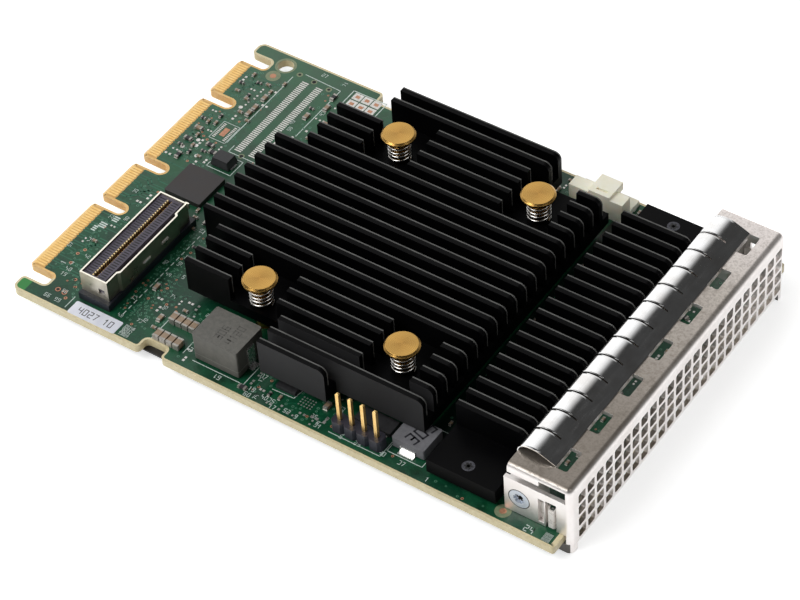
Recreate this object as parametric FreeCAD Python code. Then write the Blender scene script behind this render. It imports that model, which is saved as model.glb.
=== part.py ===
import FreeCAD, Part
import math
import os

# Storage controller card of the small mezzanine size: a finger-edged board that carries two
# finned heat sinks and closes, at its front, with a folded and perforated faceplate.
# Working frame: x runs from the contact edge (0) to the faceplate, y from the near board edge (0)
# to the far one, z up from the board's top face (0).  Sizes are in millimetres.

# ---------------------------------------------------------------- board and contact edge
BOARD_LENGTH = 115.0
BOARD_THICKNESS = 1.57
BOARD_CORNER = 0.5
CONTACT_PITCH = 0.6
CONTACT_WIDTH = 0.4
CONTACT_LENGTH = 2.2
CONTACT_THICKNESS = 0.04
TAB_CONTACT_COUNTS = (28, 14, 28, 14)  # from the near edge to the far one
TAB_MARGIN = 1.05                    # from a tab's edge to its first contact's centre
KEY_WIDTH = 2.4
KEY_DEPTH = 6.6
SIDE_GAP = 2.8
SIDE_GAP_DEPTH = 6.0
TONGUE_WIDTH = 3.4
TONGUE_SETBACK = 0.9
TONGUE_CORNER = 1.4
TAB_CORNER = 0.9
BEVEL_LENGTH = 0.6
BEVEL_DROP = 0.35
NOTCH_X = 29.3
NOTCH_LENGTH = 4.8
NOTCH_DEPTH = 2.65
NOTCH_CORNER = 0.9
BOARD_HOLE_RADIUS = 1.6
BOARD_HOLE_X = 8.75
BOARD_HOLE_INSET = 3.15              # from the far edge

# ---------------------------------------------------------------- insulator under the board
SHEET_THICKNESS = 0.3
SHEET_INSET = 1.3
SHEET_FRONT_INSET = 3.0
SHEET_BACK = 8.0
SHEET_CLEARANCE = 0.8                # round pins and tails

# ---------------------------------------------------------------- faceplate
PLATE_THICKNESS = 0.8
PLATE_BEND = 1.1                     # outer radius
FACE_OVERHANG = 1.5                  # faceplate's front beyond the board
FACE_INSET = 3.2                     # faceplate's sides from the board's edges
FACE_TOP = 11.4
FACE_DROP = 2.5                      # below the board's top face
FOOT_LENGTH = 2.6                    # of the two folded feet at the lower corners
FOOT_WIDTH = 1.8
FOOT_CLEARANCE = 0.4                 # below the board
FLANGE_LENGTH = 13.0
FLANGE_TOP = 8.0
FLANGE_LIFT = 0.1                    # flange's lower edge above the board
TOP_SETBACK = 0.7                    # top plate's back edge behind the flange's
LIP_BOTTOM = 9.5
LIP_LENGTH = 6.1
VENT_PITCH = 2.784
VENT_SIZE = 2.15
VENT_CORNER = 0.45
VENT_ROWS = 4
VENT_TOP_ROW = 7.6
VENT_SIDE_MARGIN = 1.6               # least web between the grid and a side, before its shift
VENT_SHIFT = 0.6                     # of the grid toward the far side
WINDOW_LENGTH = 2.3
WINDOW_WIDTH = 4.9
WINDOW_CORNER = 0.4
FLANGE_SLOT_HEIGHT = 5.5
FLANGE_SLOT_WIDTH = 1.1
CLIP_SLOT_HEIGHT = 6.4
CLIP_SLOT_WIDTH = 2.1
SLOT_WEB = 0.3
SLOT_LIFT = 0.8
SLOT_FRONT_WEB = 2.9                 # from the clip slot to the faceplate's front

# ---------------------------------------------------------------- finger strip on the top plate
STRIP_THICKNESS = 0.15
FINGER_PITCH = 4.8
FINGER_COUNT = 13
SLIT_WIDTH = 0.3
SLIT_LENGTH = 5.4
DOME_HEIGHT = 1.6
DOME_RISE = 0.6                      # the three corners that the dome's outline is rounded from
DOME_SHOULDER = 1.3
DOME_CROWN = 3.5
DOME_SHOULDER_DROP = 0.3             # below the crown's corner
DOME_OVERSHOOT = 0.2                 # crown's corner above the rounded top
DOME_RADII = (1.6, 2.6, 4.6)          # rise, shoulder and crown
STRIP_HOOK = 1.1
STRIP_BACK_GAP = 0.1
STRIP_LENGTH = 7.0                   # from the hooked back edge to the windows
STRIP_CLEARANCE = 0.05

# ---------------------------------------------------------------- bracket screws, blocks and clips
BRACKET_SCREW_SETBACK = 2.9          # from the flange's back edge
BRACKET_SCREW_Z = 3.9
SCREW_HEAD_RADIUS = 1.95
SCREW_SHANK_RADIUS = 1.2
SCREW_LENGTH = 5.0
SCREW_FIT = 0.05
DRIVE_WIDTH = 0.75
DRIVE_SPAN = 2.2
DRIVE_DEPTH = 0.5
BLOCK_LENGTH = 5.0
BLOCK_DEPTH = 5.0
BLOCK_HEIGHT = 7.2
BLOCK_CORNER = 0.6
CLIP_THICKNESS = 0.25
CLIP_HEIGHT = 4.4
CLIP_LIFT = 0.4
CLIP_GAP = 0.15                      # behind the clip, to the bracket block

# ---------------------------------------------------------------- fins and main heat sink
FIN_PITCH = 3.08
FIN_THICKNESS = 1.15
FIN_HEIGHT = 5.1
FIN_CORNER = 1.3
SINK_X = 25.0
SINK_BOTTOM = 2.65
SINK_BASE = 2.25
SINK_ROWS = 22
SINK_OFFSET_Y = -0.2                 # fin block's middle from the board's middle
SINK_GAP = 4.05                      # to the front heat sink
SINK_FAR_BACK = 12.9                 # set-backs of the stepped outline, from SINK_X
SINK_SIDE_BACK = 5.1
SINK_FAR_FRONT = 12.45               # from the sink's front end
SINK_NEAR_BACK = 27.5
SINK_BUMP_LENGTH = 13.9
POCKET_X = 5.1                       # half sizes of the clearing round a push pin
POCKET_Y = 5.7
PIN_SPACING_X = 29.8
PIN_SPACING_Y = 42.5
PIN_OFFSET_X = 4.95                  # pin pattern's middle from the sink's middle

# ---------------------------------------------------------------- push pins and springs
PIN_HEAD_RADIUS = 3.2
PIN_HEAD_TOP = 11.2
PIN_HEAD_RIM = 0.35
PIN_HEAD_CHAMFER = 0.35
PIN_HEAD_CONE = 0.6
PIN_NECK_RADIUS = 2.1
PIN_SHAFT_RADIUS = 1.4
PIN_HOLE_CLEARANCE = 0.15
PIN_BARB_RADIUS = 1.9
PIN_BARB_LENGTH = 2.5
PIN_BARB_STEP = 0.5
PIN_TIP_RADIUS = 0.7
PIN_SLIT = 0.5
SPRING_RADIUS = 2.0                  # of the coil's middle line
SPRING_WIRE = 0.27                   # radius
SPRING_WIRE_SIDES = 6                # few sides keep the coil's faces light
SPRING_TURNS = 4.5
SPRING_SEAT = 0.02

# ---------------------------------------------------------------- chips below the main heat sink
CHIP_SIDE = 25.0
CHIP_LID_SIDE = 20.0
CHIP_SUBSTRATE = 1.1
PAD_THICKNESS = 0.25
MEMORY_LENGTH = 7.5
MEMORY_WIDTH = 11.0
MEMORY_HEIGHT = 1.1
MEMORY_PITCH = 12.0
MEMORY_COUNT = 3
MEMORY_SETBACK = 7.0

# ---------------------------------------------------------------- front heat sink
FRONT_SINK_LENGTH = 13.7
FRONT_SINK_TO_FLANGE = 1.3
FRONT_SINK_BOTTOM = 0.8
FRONT_SINK_BASE = 3.0
FRONT_SINK_NEAR = 2.4
FRONT_SINK_FAR = 2.9
FRONT_FIN_COUNT = 18
FRONT_FIN_INSET = 9.3                # first fin's near face from the base's near end
FRONT_SCREW_INSET = 2.5
FRONT_SCREW_HEAD = 1.15
FRONT_SCREW_SHANK = 0.75
FRONT_SCREW_HEAD_HEIGHT = 0.6
FRONT_POST_RADIUS = 1.8
POWER_STAGE_LENGTH = 6.0
POWER_STAGE_WIDTH = 5.0
POWER_STAGE_COUNT = 6
POWER_STAGE_PITCH = 9.0

# ---------------------------------------------------------------- cable connector
CABLE_X = 13.1
CABLE_Y = 4.1
CABLE_WIDTH = 6.8
CABLE_LENGTH = 25.6
CABLE_FOOT = 1.5
CABLE_HEIGHT = 6.0
CABLE_SHELL_WALL = 0.3
CABLE_SHELL_INSET_Y = 1.0
CABLE_SHELL_INSET_X = 0.15
CABLE_BULGE = 0.45
CABLE_BULGE_INSET = 3.0
CABLE_END = 1.95                     # from the housing's end to the first contact's centre
CABLE_SLOT = 1.1
CABLE_SLOT_DEPTH = 3.4
CABLE_CORE_DROP = 0.4                # housing's core below the shell's rim
CABLE_KEY_GAP = 0.6
CABLE_CONTACT_WIDTH = 0.3
CABLE_CONTACT_THICKNESS = 0.15
LATCH_WINDOW_LENGTH = 2.2
LATCH_WINDOW_HEIGHT = 0.4
LATCH_WINDOW_OFFSETS = (-1.3, 4.2)   # from the shell's middle
END_WINDOW_WIDTH = 1.3
END_WINDOW_HEIGHT = 1.2
END_WINDOW_OFFSET = 1.35             # from the shell's middle line
SHELL_HOOK = 0.5

# ---------------------------------------------------------------- inductors and capacitors
BIG_COIL_X = 39.4
BIG_COIL_Y = 3.2
BIG_COIL_LENGTH = 9.6
BIG_COIL_WIDTH = 7.6
BIG_COIL_HEIGHT = 6.3
BIG_COIL_CORNER = 0.4
BIG_TERMINAL_WIDTH = 1.8
BIG_TERMINAL_RISE = 4.9
TERMINAL_THICKNESS = 0.25
TERMINAL_FOOT = 2.6
TERMINAL_REACH = 1.0
FLAT_COIL_LENGTH = 6.55
FLAT_COIL_WIDTH = 5.8
FLAT_COIL_HEIGHT = 2.4
FLAT_COIL_TO_SINK = 1.9
FLAT_COIL_Y = 4.5
FLAT_COIL_CORNER = 0.3
FLAT_TERMINAL_WIDTH = 3.1
FLAT_TERMINAL_RISE = 1.2
CAP_X = 31.0
CAP_PITCH = 1.45
CAP_ROW_Y = (3.95, 8.55)
CAP_COUNT = 4
CAP_LENGTH = 2.0
CAP_WIDTH = 1.15
CAP_HEIGHT = 1.2
CAP_END = 0.4
CAP_END_GROWTH = 0.03

# ---------------------------------------------------------------- pin header
HEADER_PITCH = 2.54
HEADER_PIN_COUNT = 4
HEADER_Y = 3.2
HEADER_TO_COIL = 0.75
HEADER_CHAMFER = 0.5
HEADER_PIN_SIDE = 0.64
HEADER_PIN_TOP = 8.9
HEADER_TAIL = 1.0
HEADER_PIN_POINT = 0.2

# ---------------------------------------------------------------- power connector
POWER_LENGTH = 11.2
POWER_DEPTH = 2.7
POWER_HEIGHT = 4.6
POWER_INSET = 6.5                    # near face from the far board edge
POWER_SHELF = 1.1
POWER_SHELF_DEPTH = 3.2
POWER_KEY_LENGTH = 4.4
POWER_KEY_DEPTH = 4.8
POWER_KEY_RISE = 0.6
POWER_KEY_SETBACK = 4.1
POWER_TO_FRONT_SINK = 3.1
POWER_PIN_COUNT = 2
POWER_PIN_PITCH = 2.0
POWER_PIN_SIDE = 0.5

# ---------------------------------------------------------------- small parts on the board
FLASH_X = 9.9
FLASH_Y = 33.3
FLASH_SIDE = 8.0
FLASH_HEIGHT = 1.0
FLASH_CORNER = 0.25
DIODE_X = 12.7
DIODE_Y = 43.6
DIODE_LENGTH = 4.0
DIODE_WIDTH = 3.2
DIODE_HEIGHT = 1.9
DIODE_DRAFT = 0.35
DIODE_LEAD_WIDTH = 1.6
REGULATOR_Y = 5.0
REGULATOR_LENGTH = 4.1
REGULATOR_WIDTH = 2.3
REGULATOR_HEIGHT = 0.8
REGULATOR_INSET = 3.0                # from the near fin's back end
LABEL_LENGTH = 10.4
LABEL_WIDTH = 3.1
LABEL_THICKNESS = 0.1
LABEL_X = 13.3
LABEL_Y = 0.25

# ---------------------------------------------------------------- derived places
TAB_WIDTHS = [(count - 1) * CONTACT_PITCH + 2 * TAB_MARGIN for count in TAB_CONTACT_COUNTS]
CONTACT_BLOCK = sum(TAB_WIDTHS) + (len(TAB_WIDTHS) - 1) * KEY_WIDTH
BOARD_WIDTH = CONTACT_BLOCK + 2 * (SIDE_GAP + TONGUE_WIDTH)
MIDDLE_Y = BOARD_WIDTH / 2
BOARD_BOTTOM = -BOARD_THICKNESS
SHEET_BOTTOM = BOARD_BOTTOM - SHEET_THICKNESS
LOWEST = BOARD_BOTTOM - PIN_BARB_LENGTH  # pin tips and faceplate feet

FACE_X = BOARD_LENGTH + FACE_OVERHANG
FLANGE_X = FACE_X - FLANGE_LENGTH
PLATE_BACK_X = FLANGE_X + TOP_SETBACK
FACE_NEAR = FACE_INSET
FACE_FAR = BOARD_WIDTH - FACE_INSET
WINDOW_X = PLATE_BACK_X + STRIP_LENGTH
CLIP_SLOT_X = FACE_X - SLOT_FRONT_WEB - CLIP_SLOT_WIDTH
FLANGE_SLOT_X = CLIP_SLOT_X - SLOT_WEB - FLANGE_SLOT_WIDTH
BRACKET_SCREW_X = FLANGE_X + BRACKET_SCREW_SETBACK

FRONT_SINK_X = FLANGE_X - FRONT_SINK_TO_FLANGE - FRONT_SINK_LENGTH
FRONT_SINK_TOP = FRONT_SINK_BOTTOM + FRONT_SINK_BASE
FRONT_SINK_END_Y = BOARD_WIDTH - FRONT_SINK_FAR
SINK_FRONT_X = FRONT_SINK_X - SINK_GAP
SINK_TOP = SINK_BOTTOM + SINK_BASE
FIN_BLOCK = (SINK_ROWS - 1) * FIN_PITCH + FIN_THICKNESS
FIN_FAR_Y = MIDDLE_Y + SINK_OFFSET_Y + FIN_BLOCK / 2
PIN_CENTRE_X = (SINK_X + SINK_FRONT_X) / 2 + PIN_OFFSET_X
PIN_CENTRE_Y = MIDDLE_Y + SINK_OFFSET_Y
PIN_PLACES = [(PIN_CENTRE_X + side_x * PIN_SPACING_X / 2, PIN_CENTRE_Y + side_y * PIN_SPACING_Y / 2)
              for side_y in (1, -1) for side_x in (-1, 1)]
PIN_HEAD_BOTTOM = PIN_HEAD_TOP - PIN_HEAD_CHAMFER - PIN_HEAD_RIM - PIN_HEAD_CONE
CHIP_TOP = SINK_BOTTOM - PAD_THICKNESS
POWER_STAGE_TOP = FRONT_SINK_BOTTOM - PAD_THICKNESS
FRONT_SCREW_X = FRONT_SINK_X + FRONT_SINK_LENGTH / 2
FRONT_SCREW_PLACES = [FRONT_SINK_NEAR + FRONT_SCREW_INSET, FRONT_SINK_END_Y - FRONT_SCREW_INSET]

FLAT_COIL_X = FRONT_SINK_X - FLAT_COIL_TO_SINK - FLAT_COIL_LENGTH
HEADER_X = FLAT_COIL_X - HEADER_TO_COIL - (HEADER_PIN_COUNT - 0.5) * HEADER_PITCH
POWER_X = FRONT_SINK_X - POWER_TO_FRONT_SINK - POWER_LENGTH
POWER_Y = BOARD_WIDTH - POWER_INSET
CABLE_CONTACT_COUNT = int((CABLE_LENGTH - 2 * CABLE_END) / CONTACT_PITCH) + 1
POWER_PIN_PLACES = [POWER_X + POWER_LENGTH / 2 + (i - (POWER_PIN_COUNT - 1) / 2) * POWER_PIN_PITCH
                    for i in range(POWER_PIN_COUNT)]
REGULATOR_X = SINK_X + SINK_NEAR_BACK + REGULATOR_INSET

# The finished part stands centred on the origin with its lowest points, the pin tips, on z = 0.
ORIGIN_SHIFT = FreeCAD.Vector(-FACE_X / 2, -MIDDLE_Y, -LOWEST)


# ---------------------------------------------------------------- drawing helpers
def on_xy(z):
    return lambda u, v: FreeCAD.Vector(u, v, z)


def on_xz(y):
    return lambda u, v: FreeCAD.Vector(u, y, v)


def outline(corners, lift):
    """Closed wire through (u, v, radius) corners, each rounded by a tangent arc."""
    count = len(corners)
    starts = []
    arcs = []
    for i, (u, v, radius) in enumerate(corners):
        before = corners[i - 1]
        after = corners[(i + 1) % count]
        back = FreeCAD.Vector(before[0] - u, before[1] - v, 0).normalize()
        ahead = FreeCAD.Vector(after[0] - u, after[1] - v, 0).normalize()
        half = back.getAngle(ahead) / 2
        corner = FreeCAD.Vector(u, v, 0)
        if radius <= 0 or abs(half - math.pi / 2) < 1e-6:
            starts.append((corner, corner))
            arcs.append(None)
            continue
        reach = radius / math.tan(half)
        inward = (back + ahead).normalize()
        middle = corner + inward * (radius / math.sin(half) - radius)
        starts.append((corner + back * reach, corner + ahead * reach))
        arcs.append(middle)
    edges = []
    for i in range(count):
        enter, leave = starts[i]
        if arcs[i] is not None:
            edges.append(Part.Arc(lift(*enter[:2]), lift(*arcs[i][:2]), lift(*leave[:2])).toShape())
        target = starts[(i + 1) % count][0]
        if (target - leave).Length > 1e-6:
            edges.append(Part.LineSegment(lift(*leave[:2]), lift(*target[:2])).toShape())
    return Part.Wire(edges)


def plate(corners, z_low, z_high):
    """Solid of an XY outline between two heights."""
    return Part.Face(outline(corners, on_xy(z_low))).extrude(FreeCAD.Vector(0, 0, z_high - z_low))


def profile_along_y(corners, y_low, y_high):
    """Solid of an XZ outline between two y places."""
    return Part.Face(outline(corners, on_xz(y_low))).extrude(FreeCAD.Vector(0, y_high - y_low, 0))


def sheet_corners(path, thickness):
    """Corners of a bent sheet whose middle line is the open path of (u, v, bend radius)."""
    left = []
    right = []
    for i, (u, v, radius) in enumerate(path):
        here = FreeCAD.Vector(u, v, 0)
        steps = []
        if i > 0:
            steps.append((here - FreeCAD.Vector(path[i - 1][0], path[i - 1][1], 0)).normalize())
        if i < len(path) - 1:
            steps.append((FreeCAD.Vector(path[i + 1][0], path[i + 1][1], 0) - here).normalize())
        normals = [FreeCAD.Vector(-step.y, step.x, 0) for step in steps]
        mitre = normals[0] if len(normals) == 1 else (normals[0] + normals[1]).normalize()
        reach = thickness / 2 / mitre.dot(normals[0])
        turn = steps[0].cross(steps[-1]).z
        sign = (turn > 0) - (turn < 0)
        outer = here + mitre * reach
        inner = here - mitre * reach
        left.append((outer.x, outer.y, max(radius - sign * thickness / 2, 0) if radius else 0))
        right.append((inner.x, inner.y, max(radius + sign * thickness / 2, 0) if radius else 0))
    return left + right[::-1]


def box(x_range, y_range, z_range):
    low = FreeCAD.Vector(x_range[0], y_range[0], z_range[0])
    return Part.makeBox(x_range[1] - x_range[0], y_range[1] - y_range[0], z_range[1] - z_range[0], low)


def rounded_block(x_range, y_range, corner, z_range):
    """Block whose four upright edges are rounded."""
    near = [(x, y_range[0], corner) for x in x_range]
    far = [(x, y_range[1], corner) for x in reversed(x_range)]
    return plate(near + far, *z_range)


def centred_box(x, y, length, width, z_range):
    return box((x - length / 2, x + length / 2), (y - width / 2, y + width / 2), z_range)


def rod(x, y, radius, z_low, z_high):
    return Part.makeCylinder(radius, z_high - z_low, FreeCAD.Vector(x, y, z_low))


def turned(x, y, profile):
    """Solid of revolution about a vertical axis through (radius, z) points."""
    points = [FreeCAD.Vector(radius, 0, z) for radius, z in profile]
    face = Part.Face(Part.makePolygon(points + points[:1]))
    solid = face.revolve(FreeCAD.Vector(0, 0, 0), FreeCAD.Vector(0, 0, 1), 360)
    return solid.translated(FreeCAD.Vector(x, y, 0))


def joined(shapes):
    first = shapes[0]
    return first.multiFuse(shapes[1:]).removeSplitter() if len(shapes) > 1 else first


def mirrored_across_board(shape):
    return shape.mirror(FreeCAD.Vector(0, MIDDLE_Y, 0), FreeCAD.Vector(0, 1, 0))


def save(node, *solids):
    shape = solids[0] if len(solids) == 1 else Part.makeCompound(list(solids))
    shape.translated(ORIGIN_SHIFT).exportStep("parts/" + node + ".step")


# ---------------------------------------------------------------- board
def tab_spans():
    """Near and far y of each contact tab."""
    spans = []
    y = TONGUE_WIDTH + SIDE_GAP
    for width in TAB_WIDTHS:
        spans.append((y, y + width))
        y += width + KEY_WIDTH
    return spans


def board_outline():
    notch_end = NOTCH_X + NOTCH_LENGTH
    far = BOARD_WIDTH
    corners = [(BOARD_LENGTH, 0, BOARD_CORNER), (BOARD_LENGTH, far, BOARD_CORNER)]
    corners += [(notch_end, far, NOTCH_CORNER), (notch_end, far - NOTCH_DEPTH, NOTCH_CORNER)]
    corners += [(NOTCH_X, far - NOTCH_DEPTH, NOTCH_CORNER), (NOTCH_X, far, NOTCH_CORNER)]
    corners += [(TONGUE_SETBACK, far, TONGUE_CORNER)]
    corners += [(TONGUE_SETBACK, far - TONGUE_WIDTH, TAB_CORNER)]
    corners += [(SIDE_GAP_DEPTH, far - TONGUE_WIDTH, TAB_CORNER)]
    spans = tab_spans()[::-1]
    for i, (near_y, far_y) in enumerate(spans):
        entry = SIDE_GAP_DEPTH if i == 0 else KEY_DEPTH
        leaving = SIDE_GAP_DEPTH if i == len(spans) - 1 else KEY_DEPTH
        entry_round = TAB_CORNER if i == 0 else KEY_WIDTH / 2
        leaving_round = TAB_CORNER if i == len(spans) - 1 else KEY_WIDTH / 2
        corners += [(entry, far_y, entry_round), (0, far_y, TAB_CORNER)]
        corners += [(0, near_y, TAB_CORNER), (leaving, near_y, leaving_round)]
    corners += [(SIDE_GAP_DEPTH, TONGUE_WIDTH, TAB_CORNER), (TONGUE_SETBACK, TONGUE_WIDTH, TAB_CORNER)]
    corners += [(TONGUE_SETBACK, 0, TONGUE_CORNER)]
    corners += [(NOTCH_X, 0, NOTCH_CORNER), (NOTCH_X, NOTCH_DEPTH, NOTCH_CORNER)]
    corners += [(notch_end, NOTCH_DEPTH, NOTCH_CORNER), (notch_end, 0, NOTCH_CORNER)]
    return corners


def bevel_cuts():
    """Wedges that thin the leading edge of the contact tabs, above and below."""
    near = TONGUE_WIDTH + SIDE_GAP
    far = near + CONTACT_BLOCK
    cuts = []
    for face, inward in ((0, -1), (BOARD_BOTTOM, 1)):
        wedge = [(0, face, 0), (BEVEL_LENGTH, face, 0), (0, face + inward * BEVEL_DROP, 0)]
        cuts.append(profile_along_y(wedge, near, far))
    return cuts


def header_places():
    return [HEADER_X + i * HEADER_PITCH for i in range(HEADER_PIN_COUNT)]


def circuit_board():
    board = plate(board_outline(), BOARD_BOTTOM, 0)
    through = (BOARD_BOTTOM, 0)
    holes = [rod(BOARD_HOLE_X, BOARD_WIDTH - BOARD_HOLE_INSET, BOARD_HOLE_RADIUS, *through)]
    for x, y in PIN_PLACES:
        holes.append(rod(x, y, PIN_SHAFT_RADIUS + PIN_HOLE_CLEARANCE, *through))
    for y in FRONT_SCREW_PLACES:
        holes.append(rod(FRONT_SCREW_X, y, FRONT_SCREW_SHANK, *through))
    for x in header_places():
        holes.append(centred_box(x, HEADER_Y, HEADER_PIN_SIDE, HEADER_PIN_SIDE, through))
    for x in POWER_PIN_PLACES:
        holes.append(centred_box(x, POWER_Y + POWER_DEPTH / 2, POWER_PIN_SIDE, POWER_PIN_SIDE, through))
    return board.cut(holes + bevel_cuts())


def edge_contacts(z_low):
    """One flat gold pad per contact, on the face that starts at z_low."""
    pads = []
    for (near_y, _), count in zip(tab_spans(), TAB_CONTACT_COUNTS):
        for i in range(count):
            y = near_y + TAB_MARGIN + i * CONTACT_PITCH
            span = (y - CONTACT_WIDTH / 2, y + CONTACT_WIDTH / 2)
            reach = (BEVEL_LENGTH, BEVEL_LENGTH + CONTACT_LENGTH)
            pads.append(box(reach, span, (z_low, z_low + CONTACT_THICKNESS)))
    return pads


def insulator_sheet():
    x_low = SHEET_BACK
    x_high = BOARD_LENGTH - SHEET_FRONT_INSET
    y_low = SHEET_INSET
    y_high = BOARD_WIDTH - SHEET_INSET
    through = (SHEET_BOTTOM, BOARD_BOTTOM)
    sheet = rounded_block((x_low, x_high), (y_low, y_high), TAB_CORNER, through)
    holes = [rod(x, y, PIN_BARB_RADIUS + SHEET_CLEARANCE, *through) for x, y in PIN_PLACES]
    hole_radius = BOARD_HOLE_RADIUS + SHEET_CLEARANCE
    holes.append(rod(BOARD_HOLE_X, BOARD_WIDTH - BOARD_HOLE_INSET, hole_radius, *through))
    middle = HEADER_X + (HEADER_PIN_COUNT - 1) * HEADER_PITCH / 2
    header_room = HEADER_PIN_COUNT * HEADER_PITCH + SHEET_CLEARANCE
    holes.append(centred_box(middle, HEADER_Y, header_room, HEADER_PITCH, through))
    power_room = POWER_PIN_COUNT * POWER_PIN_PITCH + SHEET_CLEARANCE
    power_y = POWER_Y + POWER_DEPTH / 2
    holes.append(centred_box(POWER_X + POWER_LENGTH / 2, power_y, power_room, POWER_DEPTH, through))
    return sheet.cut(holes)


# ---------------------------------------------------------------- faceplate
def folded_cover(inset, radius):
    """Rounded block that ends open at the back and below; inset shrinks it by the sheet's gauge."""
    x_range = (FLANGE_X - (inset > 0), FACE_X - inset)
    y_range = (FACE_NEAR + inset, FACE_FAR - inset)
    z_range = (LOWEST - (inset > 0), FACE_TOP - inset)
    block = box(x_range, y_range, z_range)
    bends = []
    for edge in block.Edges:
        middle = edge.CenterOfMass
        at_front = abs(middle.x - x_range[1]) < 1e-6
        at_side = min(abs(middle.y - y_range[0]), abs(middle.y - y_range[1])) < 1e-6
        at_top = abs(middle.z - z_range[1]) < 1e-6
        if at_front + at_side + at_top == 2:
            bends.append(edge)
    return block.makeFillet(radius, bends)


def vent_holes():
    usable = FACE_FAR - FACE_NEAR - 2 * (VENT_SIDE_MARGIN + VENT_SIZE / 2)
    columns = int(usable / VENT_PITCH) + 1
    first_y = MIDDLE_Y + VENT_SHIFT - (columns - 1) * VENT_PITCH / 2
    half = VENT_SIZE / 2
    corners = [(-half, -half, VENT_CORNER), (half, -half, VENT_CORNER)]
    corners += [(half, half, VENT_CORNER), (-half, half, VENT_CORNER)]
    wire = outline(corners, lambda u, v: FreeCAD.Vector(0, u, v))
    punch = Part.Face(wire).extrude(FreeCAD.Vector(2 * PLATE_THICKNESS, 0, 0))
    x = FACE_X - 1.5 * PLATE_THICKNESS
    holes = []
    for row in range(VENT_ROWS):
        for column in range(columns):
            place = FreeCAD.Vector(x, first_y + column * VENT_PITCH, VENT_TOP_ROW - row * VENT_PITCH)
            holes.append(punch.translated(place))
    return holes


def window_places():
    """Middle y of each window: one below every second finger of the strip."""
    first = MIDDLE_Y - (FINGER_COUNT - 1) * FINGER_PITCH / 2
    return [first + i * FINGER_PITCH for i in range(0, FINGER_COUNT, 2)]


def window_cuts():
    cuts = []
    for y in window_places():
        near = y - WINDOW_WIDTH / 2
        far = y + WINDOW_WIDTH / 2
        front = WINDOW_X + WINDOW_LENGTH
        corners = [(WINDOW_X, near, 0), (front, near, WINDOW_CORNER)]
        corners += [(front, far, WINDOW_CORNER), (WINDOW_X, far, 0)]
        cuts.append(plate(corners, FACE_TOP - 2 * PLATE_THICKNESS, FACE_TOP + PLATE_THICKNESS))
    return cuts


def flange_cuts():
    """Openings of the near flange; the far one is their mirror image."""
    side = (FACE_NEAR - PLATE_THICKNESS, FACE_NEAR + PLATE_THICKNESS + STRIP_CLEARANCE)
    wide = (FACE_NEAR - PLATE_THICKNESS, FACE_NEAR + PLATE_BEND)
    lip_end = FLANGE_X + TOP_SETBACK + LIP_LENGTH
    cuts = [box((FLANGE_X, lip_end), wide, (FLANGE_TOP, LIP_BOTTOM))]
    cuts.append(box((lip_end, FACE_X - PLATE_BEND), wide, (FLANGE_TOP, FACE_TOP - PLATE_THICKNESS)))
    slot = (FLANGE_SLOT_X, FLANGE_SLOT_X + FLANGE_SLOT_WIDTH)
    cuts.append(box(slot, side, (SLOT_LIFT, SLOT_LIFT + FLANGE_SLOT_HEIGHT)))
    clip = (CLIP_SLOT_X, CLIP_SLOT_X + CLIP_SLOT_WIDTH)
    cuts.append(box(clip, side, (FLANGE_LIFT, FLANGE_LIFT + CLIP_SLOT_HEIGHT)))
    cuts.append(countersink(SCREW_FIT))
    return cuts


def countersink(growth):
    """Screw head and shank of the near bracket screw, grown by a clearance."""
    outward = FreeCAD.Vector(0, 1, 0)
    place = FreeCAD.Vector(BRACKET_SCREW_X, FACE_NEAR, BRACKET_SCREW_Z)
    rim = SCREW_HEAD_RADIUS + growth
    shank = SCREW_SHANK_RADIUS + growth
    head = Part.makeCone(rim, shank, PLATE_THICKNESS, place, outward)
    return head.fuse(Part.makeCylinder(shank, SCREW_LENGTH, place, outward))


def faceplate():
    shell = folded_cover(0, PLATE_BEND).cut(folded_cover(PLATE_THICKNESS, PLATE_BEND - PLATE_THICKNESS))
    across = (0, BOARD_WIDTH)
    cuts = [box((FLANGE_X, PLATE_BACK_X), across, (FLANGE_TOP, FACE_TOP))]
    foot_top = BOARD_BOTTOM - FOOT_CLEARANCE
    cuts.append(box((FLANGE_X, FACE_X - FOOT_LENGTH), across, (LOWEST, FLANGE_LIFT)))
    cuts.append(box((FLANGE_X, FACE_X - PLATE_BEND), across, (foot_top, FLANGE_LIFT)))
    between_feet = (FACE_NEAR + FOOT_WIDTH, FACE_FAR - FOOT_WIDTH)
    cuts.append(box((FLANGE_X, FACE_X), between_feet, (LOWEST, -FACE_DROP)))
    cuts += vent_holes() + window_cuts()
    for cut in flange_cuts():
        cuts += [cut, mirrored_across_board(cut)]
    return shell.cut(cuts)


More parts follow.
